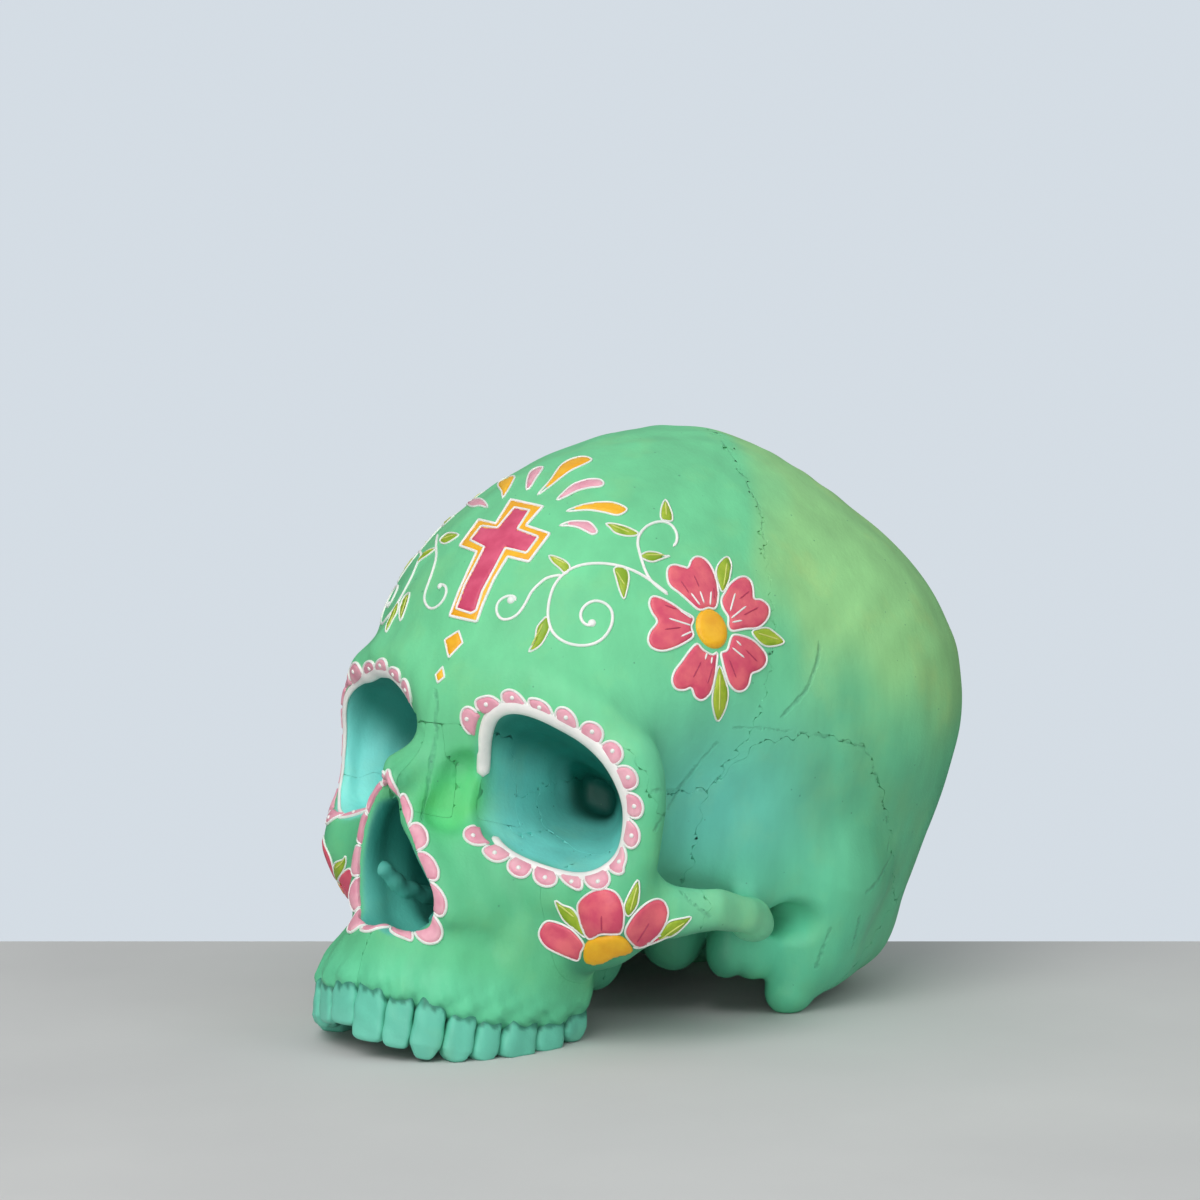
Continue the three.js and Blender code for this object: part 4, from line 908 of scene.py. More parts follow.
# Temporal bones
# The plate above the ear, with the mastoid lump behind it and the root of the cheek arch; its
# upper edge overlaps the parietal as a rough line. Painted green, teal toward the temple.
temporal_outline = squamous + [asterion, (30.4, -beyond), (-30, -beyond), (-28, -12)]
arch_outline = [(-49.3, 4), (-55.3, -beyond), (-20, -beyond), (-20, 4)]
temporal_plate = np.maximum(side_view(temporal_outline), 20 - wide_x)
temporal_arch = np.maximum(side_view(arch_outline), 49.5 - wide_x)
temporal_region = np.minimum(temporal_plate, temporal_arch)


def cut_pair(name, region, material):
    """The left and the right bone of a pair, each on its own side of the middle."""
    for side, sign in (("left", 1), ("right", -1)):
        bone = claim(np.maximum(region, -sign * grid_x))
        cut_bone(f"{side}_{name}", bone, material)


cut_pair("temporal", temporal_region, vault_paint)


# Sphenoid
# The winged bone behind the eye sockets that joins vault and face; its wings fill the hollow of
# the temple. Painted teal green.
sphenoid_outline = [(-14, -beyond), (-14, 38), (-60, 38), (-61, -8), (-46, -16), (-52, -beyond)]
sphenoid_region = np.maximum(side_view(sphenoid_outline), wide_x - 49.5)
face_paint = paint_material("face_paint")
cut_bone("sphenoid", claim(sphenoid_region), face_paint)


# Bones of the face
# Cheek bones, inner socket plates, palate, nasal bones and upper jaw: small bones closely joined
# round the sockets and the nose. Painted mint over their seams, teal inside the hollows.
cheek_outline = [(32.9, 11), (34.3, -3.6), (39.6, -58), (beyond, -58), (beyond, beyond), (32.9, beyond)]
cut_pair("zygomatic", front_view(cheek_outline), face_paint)
tear_across = np.maximum(12.1 - wide_x, wide_x - 22.1)
tear_along = np.maximum(-84 - grid_y, grid_y + 70)
tear_up = np.maximum(4 - grid_z, grid_z - 26)
tear_region = np.maximum(np.maximum(tear_across, tear_along), tear_up)
cut_pair("lacrimal", tear_region, face_paint)
ethmoid_outline = [(-78, 9), (-78, beyond), (beyond, beyond), (beyond, -7), (-70, -7)]
ethmoid_region = np.maximum(side_view(ethmoid_outline), wide_x - 18.1)
cut_bone("ethmoid", claim(ethmoid_region), face_paint)
palate_region = np.maximum(np.maximum(-61 - grid_y, grid_z + 20), wide_x - 21)
cut_pair("palatine", palate_region, face_paint)
for nasal, bone in nasal_claims.items():
    cut_bone(nasal, bone, face_paint)
rest_of_face = -500.0
cut_pair("maxilla", rest_of_face, face_paint)


# Seam putty
# A thin fillet of plaster pressed between the bones, which holds them together. It lies half a
# millimetre below their faces, so each seam still shows as a line. Painted in the bones' colours,
# darkened as painted shade in the seams.
putty_depth = 0.45
putty_half = 1.3
# Painted shade in the seams: the putty is darker than the bones' paint.
putty_painted_shade = 0.7
putty_form = np.maximum(form + putty_depth, from_seam - putty_half)
putty_points, putty_faces = surface_cells(putty_form, grid_low)
putty = new_piece("seam_putty", putty_points, putty_faces, face_paint)
putty_paint = bone_paint(putty_points, outward(putty_points)) * putty_painted_shade
tint(putty, putty_paint)


# Inside the nose
# A thin upright plate on the midline, the vomer, and a curled shelf low on each wall, the
# conchae. They are set deep in the nose opening and painted teal like its walls, with painted shade deeper
# in.
vomer_half = 1.4
vomer_root = 0.8
concha_root = 1.2
concha_lumps = 0.25
nose_crease = 45
vomer_outline = [(-82, -40), (-72, 17), (60, 17), (60, -40)]
concha_run = [(11.4, -89, -12.5, 3.2), (11.4, -82, -16.5, 4.4), (11.3, -62, -18, 3.8)]
concha_squeeze = (1, 1, 1.3)
nose_ranges = ((-18, 18), (-104, -42), (-36, 16))
nose_box = [slice(*np.searchsorted(axis, ends)) for axis, ends in zip(form_axes, nose_ranges)]
nose_axes = [axis[part] for axis, part in zip(form_axes, nose_box)]
nose_low = grid_low + np.array([part.start for part in nose_box]) * grid_step
nose_places = np.stack(np.meshgrid(*nose_axes, indexing="ij"), -1)
nose_wide = np.abs(nose_places[..., :1])
nose_space = nose_hollow(np.concatenate([nose_wide, nose_places[..., 1:]], -1))


def nose_piece(node, values):
    """One thin bone in the nose, in the darkened teal of its walls, with painted shade the deeper it lies.
    """
    points, faces = surface_cells(values, nose_low)
    piece = new_piece(f"{node}_bone", points, faces, face_paint, nose_crease)
    deep = ease(-90, -66, points[:, 1])[:, None]
    tint(piece, shaded_nose_teal + (painted_hollow_shade - shaded_nose_teal) * deep * 0.7)
    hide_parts(node)


vomer_side = side_view(vomer_outline)[:, nose_box[1], nose_box[2]]
vomer_form = np.maximum(nose_wide[..., 0] - vomer_half, vomer_side)
nose_piece("vomer", carve(vomer_form, nose_space - vomer_root, 1.5))
lumps = concha_lumps * np.sin(0.9 * nose_places[..., 1]) * np.sin(0.8 * nose_places[..., 2] + 1)
for side, sign in (("left", 1), ("right", -1)):
    roll = ridge(nose_places * np.array([sign, 1, 1]), concha_run, concha_squeeze) + lumps
    nose_piece(f"{side}_concha", carve(roll, nose_space - concha_root, 1.5))


# Upper teeth
# Sixteen roughly cast teeth, each with a squared crown and a root set in the gum ridge, nearly
# touching along a rounded-square arch. Painted blue-green, with painted shade at the necks under the gum.
tooth_names = ["central_incisor", "lateral_incisor", "canine", "first_premolar", "second_premolar"]
tooth_names += ["first_molar", "second_molar", "third_molar"]
tooth_widths = [8.7, 7.0, 7.8, 7.2, 7.0, 10.0, 9.6, 8.0]
tooth_depths = [7.0, 6.6, 8.2, 9.0, 9.0, 10.6, 10.2, 9.0]
tooth_necks = [-42, -42.6, -43.4, -44.6, -44.8, -44, -42, -38.5]
tooth_tips = [-55.4, -55.8, -57.4, -57, -56, -54.6, -51.9, -47.6]
tooth_edges = [0.45, 0.5, 0.6, 0.8, 0.85, 0.92, 0.92, 0.9]
tooth_points = [0.92, 0.88, 0.62, 0.82, 0.84, 0.9, 0.9, 0.86]
tooth_root = 8.0
tooth_overlap = 0.3
tooth_squareness = 5.0
tooth_lumps = 0.06
tooth_crease = 60
cusp_height = 0.9
root_lean = 0.3
first_cusped = 3
right_crown_cut = 0.22
right_cut_teeth = 4
tooth_sides = 36
row_half_width, row_depth, row_back, row_squareness = 29.0, 47.2, -53.0, 2.4
row_span = 0.4
# Painted shade at the necks of the teeth, under the gum's edge.
tooth_neck_shade = linear((88, 180, 154))
tooth_body = linear((104, 196, 170))
tooth_edge = linear((116, 204, 180))
gum_shadow = linear((34, 104, 84))

row_turn = np.linspace(0, np.pi / 2, 901)
row_x = row_half_width * np.sin(row_turn) ** (2 / row_squareness)
row_y = row_back - row_depth * np.abs(np.cos(row_turn)) ** (2 / row_squareness)
row_reach = np.concatenate([[0], np.cumsum(np.hypot(np.diff(row_x), np.diff(row_y)))])


def tube_faces(rows, sides, closed=False):
    """Faces of a tube whose corners run round it row by row, with a face on each open end."""
    ring = np.arange(sides)
    onward = (ring + 1) % sides
    faces = []
    for i in range(rows if closed else rows - 1):
        here, there = i * sides, (i + 1) % rows * sides
        faces += np.stack([here + ring, here + onward, there + onward, there + ring], -1).tolist()
    if not closed:
        faces.append(ring[::-1].tolist())
        faces.append((ring + (rows - 1) * sides).tolist())
    return faces


def tooth_mesh(number):
    """One tooth from root to tip, its neck at height 0: each profile row is a width share and a height."""
    height = tooth_necks[number] - tooth_tips[number]
    point = tooth_points[number]
    profile = np.array(
        [
            (0.42, tooth_root),
            (0.62, tooth_root * 0.5),
            (0.86, 0.5),
            (0.95, -height * 0.2),
            (1.0, -height * 0.5),
            (0.98, -height * 0.75),
            (point, -height * 0.93),
            (point * 0.72, -height * 0.985),
            (point * 0.3, -height),
        ]
    )
    levels = densely(profile * np.array([4, 1]), 0.5) / np.array([4, 1])
    turn = np.linspace(0, 2 * np.pi, tooth_sides, endpoint=False)
    a, b = np.cos(turn), np.sin(turn)
    square = (np.abs(a) ** tooth_squareness + np.abs(b) ** tooth_squareness) ** (-1 / tooth_squareness)
    thin = 1 + (tooth_edges[number] - 1) * np.clip(-levels[:, 1] / height, 0, 1)
    half = tooth_widths[number] / 2 + tooth_overlap / 2
    x = levels[:, :1] * (a * square)[None] * half
    y = levels[:, :1] * (b * square)[None] * (tooth_depths[number] / 2 * thin)[:, None]
    z = np.repeat(levels[:, 1:], tooth_sides, 1)
    low = np.clip((-z / height - 0.7) / 0.3, 0, 1)
    if number >= first_cusped:
        z = z + low * cusp_height * (1 - np.cos(4.2 * x / half * 0.75)) * 0.5
    lump = np.sin(0.7 * x + 0.5 * z + number) * np.sin(0.6 * y - 0.45 * z + 2 * number)
    grow = 1 + tooth_lumps * lump
    y = y + root_lean * np.maximum(z, 0)
    points = np.stack([x * grow, y * grow, z], -1).reshape(-1, 3)
    faces = [face[:1] + face[:0:-1] for face in tube_faces(len(levels), tooth_sides)]
    return points, faces


tooth_paint = paint_material("tooth_paint")
reached = 0.0
for number, name in enumerate(tooth_names):
    middle = reached + tooth_widths[number] / 2
    reached += tooth_widths[number]
    at_x = np.interp(middle, row_reach, row_x)
    at_y = np.interp(middle, row_reach, row_y) + max(0.0, middle - row_reach[-1])
    around = [middle - row_span, middle + row_span]
    run_x = np.diff(np.interp(around, row_reach, row_x))[0]
    run_y = np.diff(np.interp(around, row_reach, row_y))[0]
    heading = np.arctan2(run_y, run_x)
    if middle > row_reach[-1] - 0.5:
        heading = np.pi / 2
    points, faces = tooth_mesh(number)
    shade = ease(2.0, -3.5, points[:, 2])[:, None]
    tip = ease(-6, -12, points[:, 2])[:, None]
    colours = tooth_neck_shade + (tooth_body - tooth_neck_shade) * shade
    colours = colours + (tooth_edge - colours) * tip * 0.6
    turned = points.copy()
    turned[:, 0] = points[:, 0] * np.cos(heading) - points[:, 1] * np.sin(heading) + at_x
    turned[:, 1] = points[:, 0] * np.sin(heading) + points[:, 1] * np.cos(heading) + at_y
    turned[:, 2] += tooth_necks[number]
    for side, sign in (("left", 1), ("right", -1)):
        placed = turned * np.array([sign, 1, 1])
        if sign < 0 and number < right_cut_teeth:
            placed[:, 2] -= np.minimum(points[:, 2], 0) * right_crown_cut
        table_height = stand(placed)[:, 2] * 1000
        placed[:, 2] += np.maximum(0, -table_height) / np.cos(skull_lean)
        wound = faces if sign > 0 else [face[::-1] for face in faces]
        node = f"{side}_{name}"
        piece = new_piece(f"{node}_tooth", placed, wound, tooth_paint, tooth_crease)
        # Painted shadow of the gum on each tooth near its neck.
        from_gum = read_grid(form, placed) + 0.35 * np.sin(2.1 * placed[:, 0] + placed[:, 1])
        under_gum = ease(1.0, 0.2, from_gum)[:, None]
        tint(piece, colours + (gum_shadow - colours) * 0.75 * under_gum)
        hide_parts(node)


# White eye beads
# A fat rope of thick white paint squeezed onto the rim of each socket, broad above and narrower
# below, left open beside the nose. It stands a millimetre or two proud of the bone.
bead_open_middle = 208.0
bead_open_angle = 40.0
bead_steps = 120
bead_half_above = 2.0
bead_half_below = 1.25
bead_rise_share = 0.62
bead_offset = 1.05
bead_side_thinning = 0.55
bead_side_shift = 0.6
bead_lean = 0.6
rim_sight = 60.0
rim_outward = np.array([-1.0, 0.4, 0.0])


def rim_flat(angles, offsets):
    """Places in the plane of the left socket's opening, by turn and distance outside its rim."""
    c, s = np.cos(angles), np.sin(angles)
    n = socket_squareness
    round_off = (np.abs(c) ** n + np.abs(s) ** n) ** (1 / n)
    across = c / round_off * (socket_half_width + offsets)
    upward = s / round_off * (socket_half_height + offsets)
    upward = upward - (socket_droop + socket_slant * np.tanh(upward / slant_reach)) * across
    return socket_centre + across[:, None] * socket_out + upward[:, None] * socket_up


def rim_places(angles, offsets):
    """The same places on the bone itself."""
    start = rim_flat(angles, offsets) - socket_in * socket_depth / 2
    return march(start, np.repeat(socket_in[None], len(start), 0), rim_sight)


def right_hand(points):
    """The same places on the skull's right side."""
    p = points * other_hand
    for _ in range(4):
        p = points * other_hand + right_move(p)
    return p


def even(path, times):
    """A path with its small bends smoothed out and its ends kept."""
    for _ in range(times):
        middle = (path[:-2] + 2 * path[1:-1] + path[2:]) / 4
        path = np.concatenate([path[:1], middle, path[-1:]])
    return path


def rope(path, normals, half_across, half_up, sides=14, closed=False):
    """A rope of oval section along a path, its ends drawn in and rounded."""
    ahead = np.roll(path, -1, 0) - np.roll(path, 1, 0)
    if not closed:
        ahead[0] = path[1] - path[0]
        ahead[-1] = path[-1] - path[-2]
    ahead /= np.linalg.norm(ahead, axis=-1, keepdims=True) + 1e-9
    across = np.cross(ahead, normals)
    across /= np.linalg.norm(across, axis=-1, keepdims=True) + 1e-9
    up = np.cross(across, ahead)
    count = len(path)
    half_across = np.broadcast_to(half_across, count).copy()
    half_up = np.broadcast_to(half_up, count).copy()
    if not closed:
        gaps = np.linalg.norm(np.diff(path, axis=0), axis=1)
        reach = np.concatenate([[0], np.cumsum(gaps)])
        from_end = np.minimum(reach, reach[-1] - reach)
        share = np.clip(from_end / np.maximum(half_across, 1e-6), 0, 1)
        close_in = np.sqrt(np.clip(1 - (1 - share) ** 2, 0.02, 1))
        half_across *= close_in
        half_up *= close_in
    turn = np.linspace(0, 2 * np.pi, sides, endpoint=False)
    points = (
        path[:, None, :]
        + np.cos(turn)[None, :, None] * half_across[:, None, None] * across[:, None, :]
        + np.sin(turn)[None, :, None] * half_up[:, None, None] * up[:, None, :]
    ).reshape(-1, 3)
    return points, tube_faces(count, sides, closed)


def enamel(name, tone, other):
    """Thick craft paint in one hue, uneven from the brush and a little glossy."""
    material = bpy.data.materials.new(name)
    material.use_nodes = True
    nodes, links = material.node_tree.nodes, material.node_tree.links
    shader = nodes["Principled BSDF"]
    place = nodes.new("ShaderNodeTexCoord").outputs["Object"]
    noises = []
    for scale, detail in ((190, 4), (1100, 3)):
        noise = nodes.new("ShaderNodeTexNoise")
        noise.inputs["Scale"].default_value = scale
        noise.inputs["Detail"].default_value = detail
        links.new(place, noise.inputs["Vector"])
        noises.append(noise.outputs["Fac"])
    cloud, fine = noises
    ramp = nodes.new("ShaderNodeValToRGB")
    for stop, position, colour in zip(ramp.color_ramp.elements, (0.375, 0.65), (tone, other)):
        stop.position = position
        stop.color = (*linear(colour), 1)
    links.new(cloud, ramp.inputs[0])
    links.new(ramp.outputs[0], shader.inputs["Base Color"])
    gloss = nodes.new("ShaderNodeMapRange")
    gloss.inputs["To Min"].default_value = 0.34
    gloss.inputs["To Max"].default_value = 0.56
    links.new(fine, gloss.inputs["Value"])
    links.new(gloss.outputs[0], shader.inputs["Roughness"])
    bump = nodes.new("ShaderNodeBump")
    bump.inputs["Strength"].default_value = 0.3
    bump.inputs["Distance"].default_value = 0.0003
    links.new(fine, bump.inputs["Height"])
    links.new(bump.outputs[0], shader.inputs["Normal"])
    return material


def over_rim(path, shift):
    """Draws a path on the right socket's thin outer edge further out."""
    share = ease(-30, -38, path[:, 0])[:, None]
    return path + share * shift * rim_outward


bead_degrees = bead_open_middle + bead_open_angle / 2
bead_turn = np.radians(bead_degrees + np.linspace(0, 360 - bead_open_angle, bead_steps))
bead_path = even(rim_places(bead_turn, np.full(bead_steps, bead_offset)), 6)
bead_height = bead_path[:, 2]
bead_share = ease(bead_height.min() + 6, bead_height.max() - 6, bead_height)
bead_half = bead_half_below + (bead_half_above - bead_half_below) * bead_share
bead_white = enamel("bead_white", (243, 240, 236), (232, 231, 228))
for side, hand in (("left", np.ones(3)), ("right", other_hand)):
    path, half = bead_path, bead_half
    if side == "right":
        path = settle(over_rim(right_hand(bead_path), bead_side_shift))
        half = bead_half * (1 - bead_side_thinning * ease(-32, -40, path[:, 0]))
    facing = even(outward(path), 8) - bead_lean * socket_in * hand
    points, faces = rope(path, facing, half, half * bead_rise_share)
    piece = new_piece(f"{side}_eye_bead_rope", points, faces, bead_white)
    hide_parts(f"{side}_eye_bead")


# Scallops round the eyes
# Puffs of pink paint set side by side against the outside of each bead, each ringed with a thin
# white line and touched with a white dot.
scallop_count = 17
scallop_gap = 0.8
scallop_reach = 3.9
scallop_edge = 0.8
scallop_start = 1.5
scallop_foot = 0.3
scallop_puff = 0.75
scallop_line = 0.37
scallop_side_shift = 3.0
upper_lap, upper_lap_turns = 2.0, (498, 516)
lower_lap, lower_lap_turns = 1.4, (242, 226)
dot_place, dot_half, dot_rise = 1.8, 0.6, 0.35
rim_steps = 241
rim_lead = 8
rim_short = 12
rim_degrees = bead_open_middle + bead_open_angle / 2 - rim_lead
rim_degrees = rim_degrees + np.linspace(0, 360 - bead_open_angle - rim_short, rim_steps)
rim_turns = np.radians(rim_degrees)
walk_stride = 0.4
walk_steps = 20


def walk_out(rim, away, guide=whole_skull):
    """Rows of places on the bone outward from a rim, each row a stride further over the surface."""
    rows = [settle(rim, 4, guide)]
    for _ in range(walk_steps):
        facing = outward(rows[-1], guide)
        away = away - (away * facing).sum(-1, keepdims=True) * facing
        away = even(away / (np.linalg.norm(away, axis=-1, keepdims=True) + 1e-9), 4)
        rows.append(settle(rows[-1] + away * walk_stride, 2, guide))
    return np.stack(rows)


def along_rows(rows, distance):
    """How far each place of a row lies along it, the row being that distance from the rim."""
    row = rows[round(distance / walk_stride)]
    return np.concatenate([[0], np.cumsum(np.linalg.norm(np.diff(row, axis=0), axis=1))])


def on_rows(rows, along):
    """Lays flat places, along the rim and outward from it, on the bone."""

    def lay(flat):
        column = np.interp(flat[:, 0], along, np.arange(len(along)))
        row = np.clip(flat[:, 1] / walk_stride, 0, walk_steps - 0.001)
        i, j = row.astype(int), np.minimum(column.astype(int), len(along) - 2)
        s, t = (row - i)[:, None], (column - j)[:, None]
        near = rows[i, j] * (1 - t) + rows[i, j + 1] * t
        far = rows[i + 1, j] * (1 - t) + rows[i + 1, j + 1] * t
        return near * (1 - s) + far * s

    return lay


rim_offsets = scallop_edge + upper_lap * ease(*upper_lap_turns, rim_degrees)
rim_offsets += lower_lap * ease(*lower_lap_turns, rim_degrees)
rim_edge = even(rim_places(rim_turns, rim_offsets), 4)
rim_away = rim_flat(rim_turns, np.full(rim_steps, 3.0)) - rim_flat(rim_turns, np.zeros(rim_steps))
left_rows = walk_out(rim_edge, rim_away)
right_edge = over_rim(right_hand(rim_edge), scallop_side_shift)
right_rows = walk_out(even(settle(right_edge), 3), rim_away * other_hand)
rim_reach = along_rows(left_rows, scallop_start + scallop_reach / 2)
by_rims = (on_rows(left_rows, rim_reach), on_rows(right_rows, rim_reach))


def rounded(outline, spacing, soft=True):
    """A closed outline with its corners eased, as evenly spaced points."""
    p = np.asarray(outline, float)
    if soft:
        before, after, later = np.roll(p, 1, 0), np.roll(p, -1, 0), np.roll(p, -2, 0)
        t = np.linspace(0, 1, 8, endpoint=False)[None, :, None]
        curve = 0.5 * (
            2 * p[:, None]
            + (after - before)[:, None] * t
            + (2 * before - 5 * p + 4 * after - later)[:, None] * t**2
            + (3 * p - before - 3 * after + later)[:, None] * t**3
        )
        p = curve.reshape(-1, 2)
    p = np.concatenate([p, p[:1]])
    return densely(p, spacing)[:-1]


patch_spacing = 0.55
patch_skirt = 0.12
patch_root = 0.6


def puff(outline, places, unit, height, shoulder=1.1, soft=True):
    """A puffed patch of paint over an outline, laid on the skull and closed beneath."""
    step = patch_spacing / unit
    border = rounded(outline, step, soft)
    low, high = border.min(0), border.max(0)
    columns, rows = np.arange(low[0], high[0], step), np.arange(low[1], high[1], step)
    inner = np.stack(np.meshgrid(columns, rows, indexing="ij"), -1).reshape(-1, 2)
    inside = outline_distance(border, inner[:, 0], inner[:, 1]) < -0.55 * step
    flat = np.concatenate([border, inner[inside]])
    edges = [(i, (i + 1) % len(border)) for i in range(len(border))]
    made = delaunay_2d_cdt([tuple(q) for q in flat], edges, [], 1, 1e-6)
    flat = np.array([tuple(q) for q in made[0]])
    triangles = np.array(made[2])
    away = near_path(flat, np.concatenate([border, border[:1]])) * unit
    lift = np.sqrt(np.clip(1 - (1 - np.clip(away / shoulder, 0, 1)) ** 2, 0, 1))
    pairs = {pair for a, b, c in triangles.tolist() for pair in ((a, b), (b, c), (c, a))}
    rims = sorted((a, b) for a, b in pairs if (b, a) not in pairs)
    size = len(flat)
    parts = []
    for onto in places:
        under = onto(flat)
        facing = outward(under)
        top = under + facing * ((height + patch_skirt) * lift - patch_skirt)[:, None]
        bottom = under - facing * patch_root
        a, b, c = triangles.T
        normal = np.cross(top[b] - top[a], top[c] - top[a])
        flipped = (normal * facing[a]).sum() < 0
        upper = triangles[:, ::-1] if flipped else triangles
        sides = [(b, a) for a, b in rims] if flipped else rims
        faces = upper.tolist() + (upper[:, ::-1] + size).tolist()
        faces += [[b, a, a + size, b + size] for a, b in sides]
        parts.append((np.concatenate([top, bottom]), faces))
    return parts


line_spacing = 0.6
line_sides = 8


def line(path, places, unit, half, rise, closed=False, soft=True, base=0.0):
    """A raised line of paint along a path, laid on the skull."""
    step = line_spacing / unit
    if closed:
        flat = rounded(path, step, soft)
    else:
        p = np.asarray(path, float)
        if soft:
            for _ in range(2):
                cut = np.stack([p[:-1] * 0.75 + p[1:] * 0.25, p[:-1] * 0.25 + p[1:] * 0.75], 1)
                p = np.concatenate([p[:1], cut.reshape(-1, 2), p[-1:]])
        flat = densely(p, step)
    parts = []
    for onto in places:
        under = onto(flat)
        facing = outward(under)
        parts.append(rope(under + facing * base, facing, half, rise, line_sides, closed))
    return parts


dab_sides = 14
dab_levels = np.array([(1.0, -0.5), (1.0, 0.0), (0.86, 0.5), (0.5, 0.87), (0.15, 0.99)])


def dab(spot, places, half, rise, base=0.0):
    """A round dot of paint."""
    turn = np.linspace(0, 2 * np.pi, dab_sides, endpoint=False)
    parts = []
    for onto in places:
        under = onto(np.array([spot], float))
        facing = outward(under)[0]
        first = np.cross(facing, [0.3, 0.5, 0.8])
        first /= np.linalg.norm(first)
        second = np.cross(facing, first)
        points = [
            under[0] + half * r * (np.cos(t) * first + np.sin(t) * second) + facing * (base + rise * h)
            for r, h in dab_levels
            for t in turn
        ]
        parts.append((np.array(points), tube_faces(len(dab_levels), dab_sides)))
    return parts


ornament_crease = 50


def ornament(name, parts, material):
    """One piece from all the patches or lines of one paint."""
    points, faces, first = [], [], 0
    for part_points, part_faces in parts:
        points.append(part_points)
        faces += [[corner + first for corner in face] for face in part_faces]
        first += len(part_points)
    new_piece(name, np.concatenate(points), faces, material, ornament_crease)


def scallops(places, length, gap, foot, start, reaches):
    """Puffs side by side along a rim, the line round each, and the middles along the rim."""
    arc = np.linspace(0, np.pi, 15)
    pitch = length / len(reaches)
    half = pitch / 2 - gap / 2
    middles = (np.arange(len(reaches)) + 0.5) * pitch
    puffs, lines = [], []
    for middle, reach in zip(middles, reaches):
        curve = np.stack([middle + half * np.cos(arc), start + reach * np.sin(arc) ** 0.8], -1)
        closing = np.array([(middle - half, foot), (middle + half, foot)])
        puffs += puff(np.concatenate([curve, closing]), places, 1.0, scallop_puff, soft=False)
        lines += line(curve, places, 1.0, scallop_line, 0.5, soft=False, base=0.15)
    return puffs, lines, middles


scallop_pink = enamel("scallop_pink", (224, 148, 168), (234, 176, 188))
line_white = enamel("line_white", (244, 241, 238), (228, 236, 228))
eye_reaches = np.full(scallop_count, scallop_reach)
eye_puffs, eye_lines, eye_middles = scallops(
    by_rims, rim_reach[-1], scallop_gap, scallop_foot, scallop_start, eye_reaches
)
eye_dots = []
for middle in eye_middles:
    eye_dots += dab((middle, scallop_start + dot_place), by_rims, dot_half, dot_rise, scallop_puff)
ornament("eye_scallops", eye_puffs, scallop_pink)
ornament("eye_scallop_lines", eye_lines, line_white)
ornament("eye_scallop_dots", eye_dots, line_white)


# Scallops round the nose
# The same pink puffs, without dots, stand round the edge of the nose opening with their white
# lines. They are longest below and shrink toward the top, where the two sides meet.
nose_count = 14
nose_middle = np.array([-0.5, -10.0])
nose_reach = 4.6
nose_gap = 0.6
nose_start = 0.4
nose_foot = 0.2
nose_shrink = 0.55
nose_edge_gap = 0.5
nose_edge_behind = 1.5
nose_top_lap = 0.6
nose_top_turns = np.radians(40), np.radians(10)
nose_steps = 181
nose_turns = np.radians(np.linspace(108, 468, nose_steps))
nose_radii = np.arange(1.0, 26.0, 0.2)
broad_step = 1.6
broad_low = np.array([-30.4, -113.0, -40.0])
broad_count = (39, 34, 45)


def at_nose_mouth(across, height):
    """Places just behind the front of the nose opening."""
    levels = [(station[2], station[1]) for station in nose_mouth[::-1]]
    return np.stack([across, np.interp(height, *zip(*levels)) + nose_edge_behind, height], -1)


nose_cos, nose_sin = np.cos(nose_turns), np.sin(nose_turns)
tried_across = nose_middle[0] + nose_cos[:, None] * nose_radii
tried_height = nose_middle[1] + nose_sin[:, None] * nose_radii
nose_room = nose_hollow(own_side(at_nose_mouth(tried_across, tried_height)))
nose_rim = nose_radii[np.argmax(nose_room > 0, axis=1)]
from_top = np.minimum(nose_turns - nose_turns[0], nose_turns[-1] - nose_turns)
nose_rim = nose_rim + nose_edge_gap + nose_top_lap * ease(*nose_top_turns, from_top)
nose_rim_places = at_nose_mouth(nose_middle[0] + nose_cos * nose_rim, nose_middle[1] + nose_sin * nose_rim)
nose_away = np.stack([nose_cos, np.zeros(nose_steps), nose_sin], -1)
broad_axes = [broad_low[i] + np.arange(broad_count[i]) * broad_step for i in range(3)]
broad_form = skull_form(np.stack(np.meshgrid(*broad_axes, indexing="ij"), -1))
nose_rows = walk_out(even(nose_rim_places, 4), nose_away, (broad_form, broad_low, broad_step))
nose_along = along_rows(nose_rows, nose_reach / 2)
by_nose = (on_rows(nose_rows, nose_along),)
below_top = np.abs(2 * (np.arange(nose_count) + 0.5) / nose_count - 1)
nose_reaches = nose_reach * (1 - nose_shrink * below_top**3)
nose_puffs, nose_lines, _ = scallops(
    by_nose, nose_along[-1], nose_gap, nose_foot, nose_start, nose_reaches
)
ornament("nose_scallops", nose_puffs, scallop_pink)
ornament("nose_scallop_lines", nose_lines, line_white)


# Cross on the forehead
# A crimson cross with an amber border, squeezed on in thick craft paint: the cross stands higher
# than its border, and a thin white line runs along the edge of each. Drawn by picture places.
pixel = round(pixel_size, 3)
facing_us = (seen_at,)
cross_outline = [(515, 508.5), (530, 511.5), (518, 530), (539, 538), (527, 554), (506, 549)]
cross_outline += [(497, 566), (483, 592), (477, 611), (472, 614), (457, 609), (466, 585), (475, 568)]
cross_outline += [(485, 548), (471, 541), (482, 527), (498, 529)]
border_outline = [(511, 500), (543, 507), (526, 526), (550, 534), (529, 562), (508, 557), (494, 580)]
border_outline += [(483, 605), (477, 622), (450, 616), (459, 592), (468, 572), (477, 552), (460, 546)]
border_outline += [(479, 520), (496, 524)]
crimson = enamel("crimson", (206, 66, 104), (222, 88, 122))
amber = enamel("amber", (238, 168, 16), (248, 188, 30))
ornament("cross", puff(cross_outline, facing_us, pixel, height=0.75, shoulder=0.8, soft=False), crimson)
ornament("cross_border", puff(border_outline, facing_us, pixel, height=0.4, shoulder=0.6, soft=False), amber)
